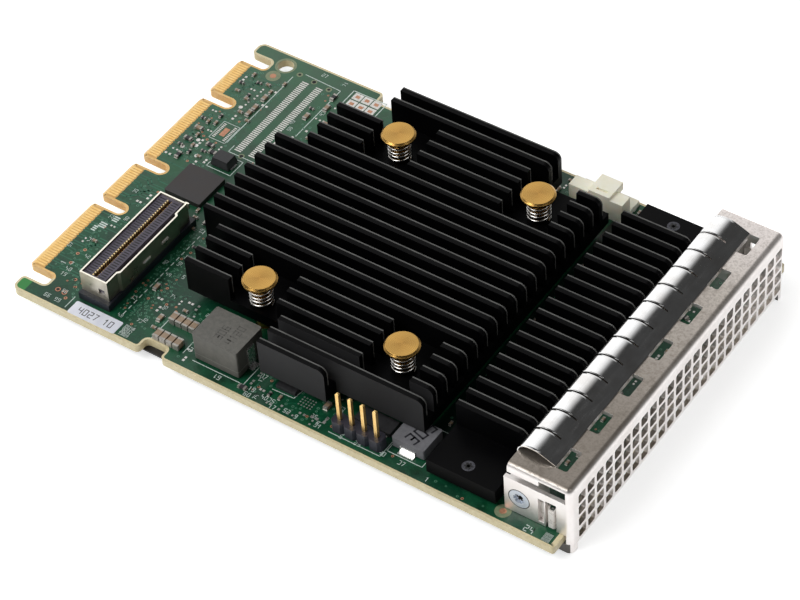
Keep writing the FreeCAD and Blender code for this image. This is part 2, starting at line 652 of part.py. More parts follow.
def finger_strip():
    """Sprung strip: hooked round the top plate's back edge, domed, and hooked into the windows."""
    half = STRIP_THICKNESS / 2
    back = PLATE_BACK_X - STRIP_BACK_GAP - half
    plate_low = FACE_TOP - PLATE_THICKNESS - STRIP_CLEARANCE - half
    seat = FACE_TOP + STRIP_CLEARANCE + half
    crown = FACE_TOP + DOME_HEIGHT + DOME_OVERSHOOT - half
    rise_radius, shoulder_radius, crown_radius = DOME_RADII
    path = [(back + STRIP_HOOK, plate_low, 0), (back, plate_low, STRIP_THICKNESS)]
    path += [(back, FACE_TOP + DOME_RISE, rise_radius)]
    path += [(back + DOME_SHOULDER, crown - DOME_SHOULDER_DROP, shoulder_radius)]
    path += [(back + DOME_CROWN, crown, crown_radius)]
    path += [(WINDOW_X + STRIP_CLEARANCE + STRIP_THICKNESS, seat, 0)]
    near = MIDDLE_Y - FINGER_COUNT * FINGER_PITCH / 2
    far = near + FINGER_COUNT * FINGER_PITCH
    strip = profile_along_y(sheet_corners(path, STRIP_THICKNESS), near, far)
    slits = []
    for i in range(1, FINGER_COUNT):
        y = near + i * FINGER_PITCH
        reach = (back - half, back + SLIT_LENGTH)
        slits.append(box(reach, (y - SLIT_WIDTH / 2, y + SLIT_WIDTH / 2), (0, crown + 1)))
    hooks = []
    hook_width = WINDOW_WIDTH - 2 * STRIP_THICKNESS
    for y in window_places():
        reach = (WINDOW_X + STRIP_CLEARANCE, WINDOW_X + STRIP_CLEARANCE + STRIP_THICKNESS)
        span = (y - hook_width / 2, y + hook_width / 2)
        hooks.append(box(reach, span, (FACE_TOP - PLATE_THICKNESS, seat + half)))
    return joined([strip.cut(slits)] + hooks)


def bracket_screw():
    place = FreeCAD.Vector(BRACKET_SCREW_X, FACE_NEAR, BRACKET_SCREW_Z)
    slot = centred_box(0, 0, DRIVE_SPAN, DRIVE_WIDTH, (0, DRIVE_DEPTH))
    drive = []
    for turn in (0, 60, 120):
        star = slot.copy()
        star.rotate(FreeCAD.Vector(0, 0, 0), FreeCAD.Vector(0, 0, 1), turn)
        star.rotate(FreeCAD.Vector(0, 0, 0), FreeCAD.Vector(1, 0, 0), -90)
        drive.append(star.translated(place))
    return countersink(0).cut(drive)


def bracket_block():
    """Threaded block on the board that the bracket screw pulls the flange against."""
    x_low = BRACKET_SCREW_X - BLOCK_LENGTH / 2
    x_high = BRACKET_SCREW_X + BLOCK_LENGTH / 2
    y_low = FACE_NEAR + PLATE_THICKNESS
    y_high = y_low + BLOCK_DEPTH
    corners = [(x_low, y_low, 0), (x_high, y_low, 0)]
    corners += [(x_high, y_high, BLOCK_CORNER), (x_low, y_high, BLOCK_CORNER)]
    return plate(corners, 0, BLOCK_HEIGHT).cut(countersink(0))


def side_spring_clip():
    """Sheet spring behind the near flange; its bowed end stands in the clip slot."""
    half = CLIP_THICKNESS / 2
    inside = FACE_NEAR + PLATE_THICKNESS + half
    outside = FACE_NEAR + half
    start = BRACKET_SCREW_X + BLOCK_LENGTH / 2 + CLIP_GAP
    rise = CLIP_SLOT_X + 2 * CLIP_THICKNESS
    fall = CLIP_SLOT_X + CLIP_SLOT_WIDTH - 2 * CLIP_THICKNESS
    path = [(start, inside, 0), (rise - half, inside, half + 0.1), (rise, outside, half + 0.1)]
    path += [(fall, outside, half + 0.1), (fall, inside + 2 * PLATE_THICKNESS, 0)]
    return plate(sheet_corners(path, CLIP_THICKNESS), CLIP_LIFT, CLIP_LIFT + CLIP_HEIGHT)


# ---------------------------------------------------------------- heat sinks
def fin(x_low, x_high, y_far, z_low, z_high):
    shape = [(x_low, z_low, 0), (x_high, z_low, 0), (x_high, z_high, FIN_CORNER), (x_low, z_high, 0)]
    return profile_along_y(shape, y_far - FIN_THICKNESS, y_far)


def sink_steps():
    """(first row, last row, back x, front x) of each stretch of the stepped main heat sink."""
    back = SINK_X
    front = SINK_FRONT_X
    side = back + SINK_SIDE_BACK
    near = back + SINK_NEAR_BACK
    pocket = PIN_PLACES[0][0] - POCKET_X
    last = SINK_ROWS - 1
    far_steps = [(0, 1, back + SINK_FAR_BACK, front - SINK_FAR_FRONT), (2, 2, pocket, front)]
    middle_steps = [(3, 6, side, front), (7, last - 7, back, front), (last - 6, last - 3, side, front)]
    near_steps = [(last - 2, last - 1, near, front), (last, last, near, near + SINK_BUMP_LENGTH)]
    return far_steps + middle_steps + near_steps


def main_heat_sink():
    fin_top = SINK_TOP + FIN_HEIGHT
    base = []
    fins = []
    for first, last, x_low, x_high in sink_steps():
        y_far = FIN_FAR_Y if first == 0 else FIN_FAR_Y - (first - 1) * FIN_PITCH - FIN_THICKNESS
        y_near = FIN_FAR_Y - last * FIN_PITCH - FIN_THICKNESS
        base.append(box((x_low, x_high), (y_near, y_far), (SINK_BOTTOM, SINK_TOP)))
        for row in range(first, last + 1):
            fins.append(fin(x_low, x_high, FIN_FAR_Y - row * FIN_PITCH, SINK_TOP, fin_top))
    clearings = []
    for x, y in PIN_PLACES:
        clearings.append(centred_box(x, y, 2 * POCKET_X, 2 * POCKET_Y, (SINK_TOP, fin_top)))
        clearings.append(rod(x, y, PIN_SHAFT_RADIUS + PIN_HOLE_CLEARANCE, SINK_BOTTOM, SINK_TOP))
    return joined(base + fins).cut(clearings)


def front_heat_sink():
    x_low = FRONT_SINK_X
    x_high = FRONT_SINK_X + FRONT_SINK_LENGTH
    base = box((x_low, x_high), (FRONT_SINK_NEAR, FRONT_SINK_END_Y), (FRONT_SINK_BOTTOM, FRONT_SINK_TOP))
    fin_top = FRONT_SINK_TOP + FIN_HEIGHT
    pieces = [base]
    for i in range(FRONT_FIN_COUNT):
        y_far = FRONT_SINK_NEAR + FRONT_FIN_INSET + FIN_THICKNESS + i * FIN_PITCH
        pieces.append(fin(x_low, x_high, y_far, FRONT_SINK_TOP, fin_top))
    holes = [front_screw(y) for y in FRONT_SCREW_PLACES]
    return joined(pieces).cut(holes)


def front_screw(y):
    head_low = FRONT_SINK_TOP - FRONT_SCREW_HEAD_HEIGHT
    head = rod(FRONT_SCREW_X, y, FRONT_SCREW_HEAD, head_low, FRONT_SINK_TOP)
    return head.fuse(rod(FRONT_SCREW_X, y, FRONT_SCREW_SHANK, BOARD_BOTTOM, head_low))


def front_sink_posts():
    """Threaded posts that stand on the board and carry the front heat sink."""
    posts = []
    for y in FRONT_SCREW_PLACES:
        post = rod(FRONT_SCREW_X, y, FRONT_POST_RADIUS, 0, FRONT_SINK_BOTTOM)
        posts.append(post.cut(rod(FRONT_SCREW_X, y, FRONT_SCREW_SHANK, 0, FRONT_SINK_BOTTOM)))
    return posts


def power_stages(z_low, z_high):
    middle = (FRONT_SCREW_PLACES[0] + FRONT_SCREW_PLACES[1]) / 2
    first = middle - (POWER_STAGE_COUNT - 1) * POWER_STAGE_PITCH / 2
    return [centred_box(FRONT_SCREW_X, first + i * POWER_STAGE_PITCH, POWER_STAGE_LENGTH, POWER_STAGE_WIDTH,
                        (z_low, z_high)) for i in range(POWER_STAGE_COUNT)]


def push_pin(x, y):
    """Turned pin: chamfered head, shaft through sink and board, and a split barb below."""
    rim_top = PIN_HEAD_TOP - PIN_HEAD_CHAMFER
    rim_low = rim_top - PIN_HEAD_RIM
    barb_low = BOARD_BOTTOM - PIN_BARB_STEP
    profile = [(0, PIN_HEAD_TOP), (PIN_HEAD_RADIUS - PIN_HEAD_CHAMFER, PIN_HEAD_TOP)]
    profile += [(PIN_HEAD_RADIUS, rim_top), (PIN_HEAD_RADIUS, rim_low)]
    profile += [(PIN_NECK_RADIUS, PIN_HEAD_BOTTOM), (PIN_SHAFT_RADIUS, PIN_HEAD_BOTTOM)]
    profile += [(PIN_SHAFT_RADIUS, BOARD_BOTTOM), (PIN_BARB_RADIUS, BOARD_BOTTOM)]
    profile += [(PIN_BARB_RADIUS, barb_low), (PIN_TIP_RADIUS, LOWEST), (0, LOWEST)]
    slit = centred_box(x, y, PIN_SLIT, 2 * PIN_BARB_RADIUS, (LOWEST, BOARD_BOTTOM))
    return turned(x, y, profile).cut(slit)


def pin_spring(x, y):
    """Round-wire coil between the pin's head and the sink's base."""
    low = SINK_TOP + SPRING_WIRE + SPRING_SEAT
    high = PIN_HEAD_BOTTOM - SPRING_WIRE - SPRING_SEAT
    helix = Part.makeHelix((high - low) / SPRING_TURNS, high - low, SPRING_RADIUS)
    corners = []
    for i in range(SPRING_WIRE_SIDES + 1):
        turn = 2 * math.pi * i / SPRING_WIRE_SIDES
        u = SPRING_RADIUS + SPRING_WIRE * math.cos(turn)
        corners.append(FreeCAD.Vector(u, 0, SPRING_WIRE * math.sin(turn)))
    coil = Part.Wire(helix).makePipeShell([Part.makePolygon(corners)], True, True)
    return coil.translated(FreeCAD.Vector(x, y, low))


def controller_chip():
    substrate = centred_box(PIN_CENTRE_X, PIN_CENTRE_Y, CHIP_SIDE, CHIP_SIDE, (0, CHIP_SUBSTRATE))
    lid = centred_box(PIN_CENTRE_X, PIN_CENTRE_Y, CHIP_LID_SIDE, CHIP_LID_SIDE, (CHIP_SUBSTRATE, CHIP_TOP))
    return joined([substrate, lid])


def memory_blocks(z_low, z_high):
    x = SINK_X + MEMORY_SETBACK + MEMORY_LENGTH / 2
    first = PIN_CENTRE_Y - (MEMORY_COUNT - 1) * MEMORY_PITCH / 2
    return [centred_box(x, first + i * MEMORY_PITCH, MEMORY_LENGTH, MEMORY_WIDTH, (z_low, z_high))
            for i in range(MEMORY_COUNT)]


# ---------------------------------------------------------------- cable connector
def shell_outline(inset):
    """Shell seen from above; its front wall bows out between two shoulders."""
    x_low = CABLE_X + CABLE_SHELL_INSET_X + inset
    x_high = CABLE_X + CABLE_WIDTH - CABLE_SHELL_INSET_X - CABLE_BULGE - inset
    y_low = CABLE_Y + CABLE_SHELL_INSET_Y + inset
    y_high = CABLE_Y + CABLE_LENGTH - CABLE_SHELL_INSET_Y - inset
    near = y_low + CABLE_BULGE_INSET
    far = y_high - CABLE_BULGE_INSET
    front = x_high + CABLE_BULGE
    corners = [(x_low, y_low), (x_high, y_low), (x_high, near), (front, near + CABLE_BULGE)]
    corners += [(front, far - CABLE_BULGE), (x_high, far), (x_high, y_high), (x_low, y_high)]
    return [(x, y, 0) for x, y in corners]


def cable_connector_shell():
    shell = plate(shell_outline(0), CABLE_FOOT, CABLE_HEIGHT)
    hollow = plate(shell_outline(CABLE_SHELL_WALL), CABLE_FOOT, CABLE_HEIGHT)
    front = CABLE_X + CABLE_WIDTH
    middle_y = CABLE_Y + CABLE_LENGTH / 2
    middle_z = (CABLE_HEIGHT + CABLE_FOOT) / 2
    cuts = []
    for offset in LATCH_WINDOW_OFFSETS:
        y = middle_y + offset
        latch = (y - LATCH_WINDOW_LENGTH / 2, y + LATCH_WINDOW_LENGTH / 2)
        cuts.append(box((front - 2 * CABLE_BULGE, front), latch, (middle_z - 2 * LATCH_WINDOW_HEIGHT,
                                                                  middle_z - LATCH_WINDOW_HEIGHT)))
    x = CABLE_X + CABLE_WIDTH / 2 + END_WINDOW_OFFSET
    end_window = (x - END_WINDOW_WIDTH / 2, x + END_WINDOW_WIDTH / 2)
    both_ends = (CABLE_Y, CABLE_Y + CABLE_LENGTH)
    cuts.append(box(end_window, both_ends, (middle_z - END_WINDOW_HEIGHT, middle_z)))
    hook_x = CABLE_X + CABLE_WIDTH - CABLE_SHELL_INSET_X - CABLE_BULGE
    hook_y = CABLE_Y + CABLE_LENGTH - CABLE_SHELL_INSET_Y
    hook = box((hook_x - CABLE_SHELL_WALL, hook_x + SHELL_HOOK), (hook_y - CABLE_SHELL_WALL, hook_y),
               (CABLE_HEIGHT - 2 * SHELL_HOOK, CABLE_HEIGHT + SHELL_HOOK / 2))
    return joined([shell.cut([hollow] + cuts), hook])


def cable_core():
    """x and y ranges of the housing's upright core, inside the shell."""
    wall = CABLE_SHELL_WALL + CABLE_SHELL_INSET_X
    x_range = (CABLE_X + wall, CABLE_X + CABLE_WIDTH - wall - CABLE_BULGE - CABLE_KEY_GAP)
    end = CABLE_SHELL_INSET_Y + CABLE_SHELL_WALL
    return x_range, (CABLE_Y + end, CABLE_Y + CABLE_LENGTH - end)


def cable_slot():
    """x range and y range of the mating slot, whose length follows the contact count."""
    x_range, y_range = cable_core()
    x = (x_range[0] + x_range[1]) / 2
    y = (y_range[0] + y_range[1]) / 2
    half = (CABLE_CONTACT_COUNT - 1) * CONTACT_PITCH / 2 + CONTACT_WIDTH / 2
    return (x - CABLE_SLOT / 2, x + CABLE_SLOT / 2), (y - half, y + half)


def cable_connector_housing():
    foot = box((CABLE_X, CABLE_X + CABLE_WIDTH), (CABLE_Y, CABLE_Y + CABLE_LENGTH), (0, CABLE_FOOT))
    top = CABLE_HEIGHT - CABLE_CORE_DROP
    core_x, core_y = cable_core()
    core = box(core_x, core_y, (CABLE_FOOT, top))
    slot_x, slot_y = cable_slot()
    return joined([foot, core]).cut(box(slot_x, slot_y, (top - CABLE_SLOT_DEPTH, top)))


def cable_connector_contacts():
    (x_low, x_high), (y_low, y_high) = cable_slot()
    top = CABLE_HEIGHT - CABLE_CORE_DROP
    z_range = (top - CABLE_SLOT_DEPTH, top - CABLE_CONTACT_THICKNESS)
    first = (y_low + y_high) / 2 - (CABLE_CONTACT_COUNT - 1) * CONTACT_PITCH / 2
    contacts = []
    for i in range(CABLE_CONTACT_COUNT):
        y = first + i * CONTACT_PITCH
        span = (y - CABLE_CONTACT_WIDTH / 2, y + CABLE_CONTACT_WIDTH / 2)
        contacts.append(box((x_low, x_low + CABLE_CONTACT_THICKNESS), span, z_range))
        contacts.append(box((x_high - CABLE_CONTACT_THICKNESS, x_high), span, z_range))
    return contacts


# ---------------------------------------------------------------- inductors and capacitors
def big_coil_core():
    z_range = (TERMINAL_THICKNESS, BIG_COIL_HEIGHT)
    x_range = (BIG_COIL_X, BIG_COIL_X + BIG_COIL_LENGTH)
    y_range = (BIG_COIL_Y, BIG_COIL_Y + BIG_COIL_WIDTH)
    return rounded_block(x_range, y_range, BIG_COIL_CORNER, z_range)


def big_coil_terminals():
    """One clip per end: it lies below the core, reaches out as a foot and climbs the end face."""
    middle = BIG_COIL_Y + BIG_COIL_WIDTH / 2
    y_range = (middle - BIG_TERMINAL_WIDTH / 2, middle + BIG_TERMINAL_WIDTH / 2)
    clips = []
    for end, outward in ((BIG_COIL_X, -1), (BIG_COIL_X + BIG_COIL_LENGTH, 1)):
        foot_x = sorted((end - outward * TERMINAL_FOOT, end + outward * TERMINAL_REACH))
        climb_x = sorted((end, end + outward * TERMINAL_THICKNESS))
        foot = box(foot_x, y_range, (0, TERMINAL_THICKNESS))
        clips.append(joined([foot, box(climb_x, y_range, (0, BIG_TERMINAL_RISE))]))
    return clips


def flat_coil_core():
    z_range = (TERMINAL_THICKNESS, FLAT_COIL_HEIGHT)
    x_range = (FLAT_COIL_X, FLAT_COIL_X + FLAT_COIL_LENGTH)
    y_range = (FLAT_COIL_Y, FLAT_COIL_Y + FLAT_COIL_WIDTH)
    return rounded_block(x_range, y_range, FLAT_COIL_CORNER, z_range)


def flat_coil_terminals():
    middle = FLAT_COIL_X + FLAT_COIL_LENGTH / 2
    x_range = (middle - FLAT_TERMINAL_WIDTH / 2, middle + FLAT_TERMINAL_WIDTH / 2)
    clips = []
    for end, outward in ((FLAT_COIL_Y, -1), (FLAT_COIL_Y + FLAT_COIL_WIDTH, 1)):
        foot_y = sorted((end - outward * TERMINAL_REACH, end + outward * TERMINAL_REACH))
        climb_y = sorted((end, end + outward * TERMINAL_THICKNESS))
        foot = box(x_range, foot_y, (0, TERMINAL_THICKNESS))
        clips.append(joined([foot, box(x_range, climb_y, (0, FLAT_TERMINAL_RISE))]))
    return clips


def capacitor_places():
    return [(CAP_X + i * CAP_PITCH, y) for y in CAP_ROW_Y for i in range(CAP_COUNT)]


def capacitor_bodies():
    length = CAP_LENGTH - 2 * CAP_END
    z_range = (CAP_END_GROWTH, CAP_HEIGHT)
    return [centred_box(x, y, CAP_WIDTH, length, z_range) for x, y in capacitor_places()]


def capacitor_ends():
    ends = []
    width = CAP_WIDTH + 2 * CAP_END_GROWTH
    reach = (CAP_LENGTH - CAP_END) / 2
    for x, y in capacitor_places():
        for side in (-1, 1):
            ends.append(centred_box(x, y + side * reach, width, CAP_END, (0, CAP_HEIGHT + CAP_END_GROWTH)))
    return ends


# ---------------------------------------------------------------- pin header and power connector
def pin_header_base():
    """One eight-sided block for each pin, joined in a row."""
    half = HEADER_PITCH / 2
    waist = half - HEADER_CHAMFER
    octagon = [(-half, -waist), (-waist, -half), (waist, -half), (half, -waist)]
    octagon += [(half, waist), (waist, half), (-waist, half), (-half, waist)]
    z_range = (0, HEADER_PITCH)
    blocks = []
    holes = []
    for x in header_places():
        blocks.append(plate([(x + dx, HEADER_Y + dy, 0) for dx, dy in octagon], *z_range))
        holes.append(centred_box(x, HEADER_Y, HEADER_PIN_SIDE, HEADER_PIN_SIDE, z_range))
    return joined(blocks).cut(holes)


def pin_header_pins():
    low = BOARD_BOTTOM - HEADER_TAIL
    pins = []
    for x in header_places():
        pin = centred_box(x, HEADER_Y, HEADER_PIN_SIDE, HEADER_PIN_SIDE, (low, HEADER_PIN_TOP))
        crown = [edge for edge in pin.Edges if edge.BoundBox.ZMin > HEADER_PIN_TOP - 1e-6]
        pins.append(pin.makeChamfer(HEADER_PIN_POINT, crown))
    return pins


def power_pin_hole_z():
    return POWER_HEIGHT / 2


def power_connector_housing():
    x_range = (POWER_X, POWER_X + POWER_LENGTH)
    body = box(x_range, (POWER_Y, POWER_Y + POWER_DEPTH), (0, POWER_HEIGHT))
    shelf_y = (POWER_Y + POWER_DEPTH, POWER_Y + POWER_DEPTH + POWER_SHELF_DEPTH)
    shelf = box(x_range, shelf_y, (0, POWER_SHELF))
    key_x = (POWER_X + POWER_KEY_SETBACK, POWER_X + POWER_KEY_SETBACK + POWER_KEY_LENGTH)
    key_z = (POWER_HEIGHT - POWER_SHELF, POWER_HEIGHT + POWER_KEY_RISE)
    key = box(key_x, (POWER_Y, POWER_Y + POWER_KEY_DEPTH), key_z)
    slot_x = (key_x[0] + POWER_SHELF, key_x[1] - POWER_SHELF)
    slot_y = (POWER_Y + POWER_DEPTH / 3, POWER_Y + POWER_DEPTH / 3 + POWER_PIN_SIDE)
    slot = box(slot_x, slot_y, (POWER_HEIGHT, POWER_HEIGHT + POWER_KEY_RISE))
    return joined([body, shelf, key]).cut([slot] + power_connector_pins())


def power_connector_pins():
    """Angled pins: a tail through the board and a blade towards the board's far edge."""
    low = BOARD_BOTTOM - HEADER_TAIL
    y = POWER_Y + POWER_DEPTH / 2
    pins = []
    for x in POWER_PIN_PLACES:
        tail = centred_box(x, y, POWER_PIN_SIDE, POWER_PIN_SIDE, (low, power_pin_hole_z()))
        half = POWER_PIN_SIDE / 2
        blade_y = (y - half, POWER_Y + POWER_DEPTH + POWER_SHELF_DEPTH - POWER_PIN_SIDE)
        blade_z = (power_pin_hole_z() - POWER_PIN_SIDE, power_pin_hole_z())
        blade = box((x - half, x + half), blade_y, blade_z)
        pins.append(joined([tail, blade]))
    return pins


# ---------------------------------------------------------------- small parts
def flash_chip():
    x_range = (FLASH_X, FLASH_X + FLASH_SIDE)
    return rounded_block(x_range, (FLASH_Y, FLASH_Y + FLASH_SIDE), FLASH_CORNER, (0, FLASH_HEIGHT))


def small_diode():
    """Moulded body whose four sides draw in towards the top."""
    low = outline([(DIODE_X, DIODE_Y, 0), (DIODE_X + DIODE_LENGTH, DIODE_Y, 0),
                   (DIODE_X + DIODE_LENGTH, DIODE_Y + DIODE_WIDTH, 0), (DIODE_X, DIODE_Y + DIODE_WIDTH, 0)],
                  on_xy(TERMINAL_THICKNESS))
    x_high = DIODE_X + DIODE_LENGTH - DIODE_DRAFT
    y_high = DIODE_Y + DIODE_WIDTH - DIODE_DRAFT
    high = outline([(DIODE_X + DIODE_DRAFT, DIODE_Y + DIODE_DRAFT, 0), (x_high, DIODE_Y + DIODE_DRAFT, 0),
                    (x_high, y_high, 0), (DIODE_X + DIODE_DRAFT, y_high, 0)], on_xy(DIODE_HEIGHT))
    return Part.makeLoft([low, high], True, True)


def diode_leads():
    y = DIODE_Y + DIODE_WIDTH / 2
    y_range = (y - DIODE_LEAD_WIDTH / 2, y + DIODE_LEAD_WIDTH / 2)
    reach = DIODE_LENGTH / 4
    leads = []
    for end, outward in ((DIODE_X, -1), (DIODE_X + DIODE_LENGTH, 1)):
        x_range = sorted((end - outward * reach, end + outward * DIODE_DRAFT))
        leads.append(box(x_range, y_range, (0, TERMINAL_THICKNESS)))
    return leads


def regulator_chip():
    x_range = (REGULATOR_X, REGULATOR_X + REGULATOR_LENGTH)
    return box(x_range, (REGULATOR_Y, REGULATOR_Y + REGULATOR_WIDTH), (0, REGULATOR_HEIGHT))


def port_label():
    corner = LABEL_WIDTH / 10
    x_range = (LABEL_X, LABEL_X + LABEL_LENGTH)
    y_range = (LABEL_Y, LABEL_Y + LABEL_WIDTH)
    return rounded_block(x_range, y_range, corner, (0, LABEL_THICKNESS))


# ---------------------------------------------------------------- the card
os.makedirs("parts", exist_ok=True)

save("circuit_board", circuit_board())
save("edge_contacts_top", *edge_contacts(0))
save("edge_contacts_bottom", *edge_contacts(BOARD_BOTTOM - CONTACT_THICKNESS))
save("insulator_sheet", insulator_sheet())

save("faceplate", faceplate())
save("emi_finger_strip", finger_strip())
near_side_parts = (("bracket_screw", bracket_screw()), ("bracket_block", bracket_block()),
                   ("side_spring_clip", side_spring_clip()))
for node, shape in near_side_parts:
    save(node + "_near", shape)
    save(node + "_far", mirrored_across_board(shape))

save("main_heat_sink", main_heat_sink())
for number, (pin_x, pin_y) in enumerate(PIN_PLACES, 1):
    save("push_pin_%d" % number, push_pin(pin_x, pin_y))
    save("pin_spring_%d" % number, pin_spring(pin_x, pin_y))
save("controller_chip", controller_chip())
chip_pad = centred_box(PIN_CENTRE_X, PIN_CENTRE_Y, CHIP_LID_SIDE, CHIP_LID_SIDE, (CHIP_TOP, SINK_BOTTOM))
save("controller_thermal_pad", chip_pad)
save("memory_chips", *memory_blocks(0, MEMORY_HEIGHT))
save("memory_thermal_pads", *memory_blocks(MEMORY_HEIGHT, SINK_BOTTOM))

save("front_heat_sink", front_heat_sink())
save("front_sink_posts", *front_sink_posts())
for number, screw_y in enumerate(FRONT_SCREW_PLACES, 1):
    save("front_sink_screw_%d" % number, front_screw(screw_y))
save("power_stage_chips", *power_stages(0, POWER_STAGE_TOP))
save("front_thermal_pads", *power_stages(POWER_STAGE_TOP, FRONT_SINK_BOTTOM))

save("cable_connector_housing", cable_connector_housing())
save("cable_connector_shell", cable_connector_shell())
save("cable_connector_contacts", *cable_connector_contacts())
save("large_inductor_core", big_coil_core())
save("large_inductor_terminals", *big_coil_terminals())
save("flat_inductor_core", flat_coil_core())
save("flat_inductor_terminals", *flat_coil_terminals())
save("capacitor_bodies", *capacitor_bodies())
save("capacitor_ends", *capacitor_ends())
save("pin_header_base", pin_header_base())
save("pin_header_pins", *pin_header_pins())
save("power_connector_housing", power_connector_housing())
save("power_connector_pins", *power_connector_pins())
save("flash_chip", flash_chip())
save("small_diode", small_diode())
save("diode_leads", *diode_leads())
save("regulator_chip", regulator_chip())
save("port_label", port_label())
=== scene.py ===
import math
import random

import bpy
from mathutils import Matrix, Vector


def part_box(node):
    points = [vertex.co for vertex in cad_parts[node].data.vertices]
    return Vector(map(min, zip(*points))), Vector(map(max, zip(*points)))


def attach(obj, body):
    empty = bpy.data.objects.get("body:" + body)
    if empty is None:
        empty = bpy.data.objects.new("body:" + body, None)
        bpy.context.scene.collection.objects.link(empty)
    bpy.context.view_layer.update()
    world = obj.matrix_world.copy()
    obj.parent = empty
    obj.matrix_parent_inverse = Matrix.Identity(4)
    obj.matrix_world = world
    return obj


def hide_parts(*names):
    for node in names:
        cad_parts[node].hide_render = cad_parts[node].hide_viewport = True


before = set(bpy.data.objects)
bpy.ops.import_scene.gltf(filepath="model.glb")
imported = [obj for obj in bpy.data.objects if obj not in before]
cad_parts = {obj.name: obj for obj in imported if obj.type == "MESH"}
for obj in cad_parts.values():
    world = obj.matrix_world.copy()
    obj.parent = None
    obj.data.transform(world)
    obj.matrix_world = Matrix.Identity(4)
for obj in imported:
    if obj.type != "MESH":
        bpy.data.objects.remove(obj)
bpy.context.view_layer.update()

MM = 0.001
ROOT = "root"

# ---------------- places taken from the frame
# Board coordinates in millimetres: x from the contact edge, y from the near edge, z from the top face.
board_low, board_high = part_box("circuit_board")
BOARD_ORIGIN = Vector((board_low.x, board_low.y, board_high.z))
BOARD_LENGTH = (board_high.x - board_low.x) / MM
BOARD_WIDTH = (board_high.y - board_low.y) / MM
BOARD_UNDERSIDE = (board_low.z - board_high.z) / MM


def at(x, y, z=0.0):
    """Board coordinates in millimetres as a place in the row frame, in metres."""
    return BOARD_ORIGIN + Vector((x, y, z)) * MM


def x_at(x):
    return at(x, 0).x


def y_at(y):
    return at(0, y).y


def z_at(z):
    return at(0, 0, z).z


def span(node):
    """(low, high) corners of a CAD node in board coordinates, in millimetres."""
    low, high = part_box(node)
    return (low - BOARD_ORIGIN) / MM, (high - BOARD_ORIGIN) / MM


def new_object(name, data):
    item = bpy.data.objects.new(name, data)
    bpy.context.scene.collection.objects.link(item)
    return item


def heading(degrees):
    """Unit vector in the board's plane."""
    return Vector((math.cos(math.radians(degrees)), math.sin(math.radians(degrees))))


# ---------------- material graphs
def shade(*values):
    """Display values from 0 to 255 as a linear colour."""
    linear = []
    for value in values:
        level = value / 255
        linear.append(level / 12.92 if level <= 0.04045 else ((level + 0.055) / 1.055) ** 2.4)
    return tuple(linear) + (1.0,)


RANGE_SOCKETS = ("From Min", "From Max", "To Min", "To Max")


class Graph:
    """A material under construction; its sums take numbers or sockets."""

    def __init__(self, name, **constants):
        self.material = bpy.data.materials.new(name)
        self.material.use_nodes = True
        self.nodes = self.material.node_tree.nodes
        self.links = self.material.node_tree.links
        self.bsdf = self.nodes["Principled BSDF"]
        for socket, value in constants.items():
            self.bsdf.inputs[socket.replace("_", " ")].default_value = value
        self.coordinates = self.nodes.new("ShaderNodeTexCoord").outputs["Object"]
        self.normal = self.nodes.new("ShaderNodeNewGeometry").outputs["Normal"]

    def put(self, value, socket):
        if isinstance(value, bpy.types.NodeSocket):
            self.links.new(value, socket)
        else:
            socket.default_value = value

    def axes(self, vector):
        """x, y and z sockets of a vector."""
        node = self.nodes.new("ShaderNodeSeparateXYZ")
        self.put(vector, node.inputs[0])
        return node.outputs

    def math(self, operation, a, b=0.0):
        node = self.nodes.new("ShaderNodeMath")
        node.operation = operation
        self.put(a, node.inputs[0])
        self.put(b, node.inputs[1])
        return node.outputs[0]

    def below(self, value, limit):
        """1 where the value is less than the limit, and 0 elsewhere."""
        return self.math("LESS_THAN", value, limit)

    def above(self, value, limit):
        return self.math("GREATER_THAN", value, limit)

    def times(self, first, *others):
        """Product; of masks, the place where all of them hold."""
        for factor in others:
            first = self.math("MULTIPLY", first, factor)
        return first

    def noise(self, size_mm, detail=2.0, roughness=0.5, stretch=(1, 1, 1)):
        """Noise factor whose features are about size_mm across."""
        place = self.nodes.new("ShaderNodeMapping")
        place.inputs["Scale"].default_value = stretch
        self.links.new(self.coordinates, place.inputs["Vector"])
        node = self.nodes.new("ShaderNodeTexNoise")
        self.links.new(place.outputs[0], node.inputs["Vector"])
        node.inputs["Scale"].default_value = 1 / (size_mm * MM)
        node.inputs["Detail"].default_value = detail
        node.inputs["Roughness"].default_value = roughness
        return node.outputs["Fac"]

    def ramp(self, value, low, high, to_low=0.0, to_high=1.0):
        node = self.nodes.new("ShaderNodeMapRange")
        self.put(value, node.inputs["Value"])
        for name, number in zip(RANGE_SOCKETS, (low, high, to_low, to_high)):
            node.inputs[name].default_value = number
        return node.outputs[0]

    def mix(self, factor, a, b, share=1.0):
        """Blend of colour a with share of colour b; each is a socket or three display values."""
        node = self.nodes.new("ShaderNodeMix")
        node.data_type = "RGBA"
        self.put(factor if share == 1.0 else self.times(factor, share), node.inputs["Factor"])
        for colour, socket in ((a, node.inputs[6]), (b, node.inputs[7])):
            self.put(shade(*colour) if isinstance(colour, tuple) else colour, socket)
        return node.outputs[2]

    def bump(self, height, distance_mm, strength=1.0, under=None):
        node = self.nodes.new("ShaderNodeBump")
        node.inputs["Strength"].default_value = strength
        node.inputs["Distance"].default_value = distance_mm * MM
        self.put(height, node.inputs["Height"])
        if under is not None:
            self.links.new(under, node.inputs["Normal"])
        return node.outputs[0]

    def soft_edges(self, radius_mm):
        """Shading normal that rounds the piece's edges."""
        node = self.nodes.new("ShaderNodeBevel")
        node.samples = 4
        node.inputs["Radius"].default_value = radius_mm * MM
        return node.outputs[0]

    def done(self, colour, roughness, normal=None):
        self.put(colour, self.bsdf.inputs["Base Color"])
        self.put(roughness, self.bsdf.inputs["Roughness"])
        if normal is not None:
            self.links.new(normal, self.bsdf.inputs["Normal"])
        return self.material


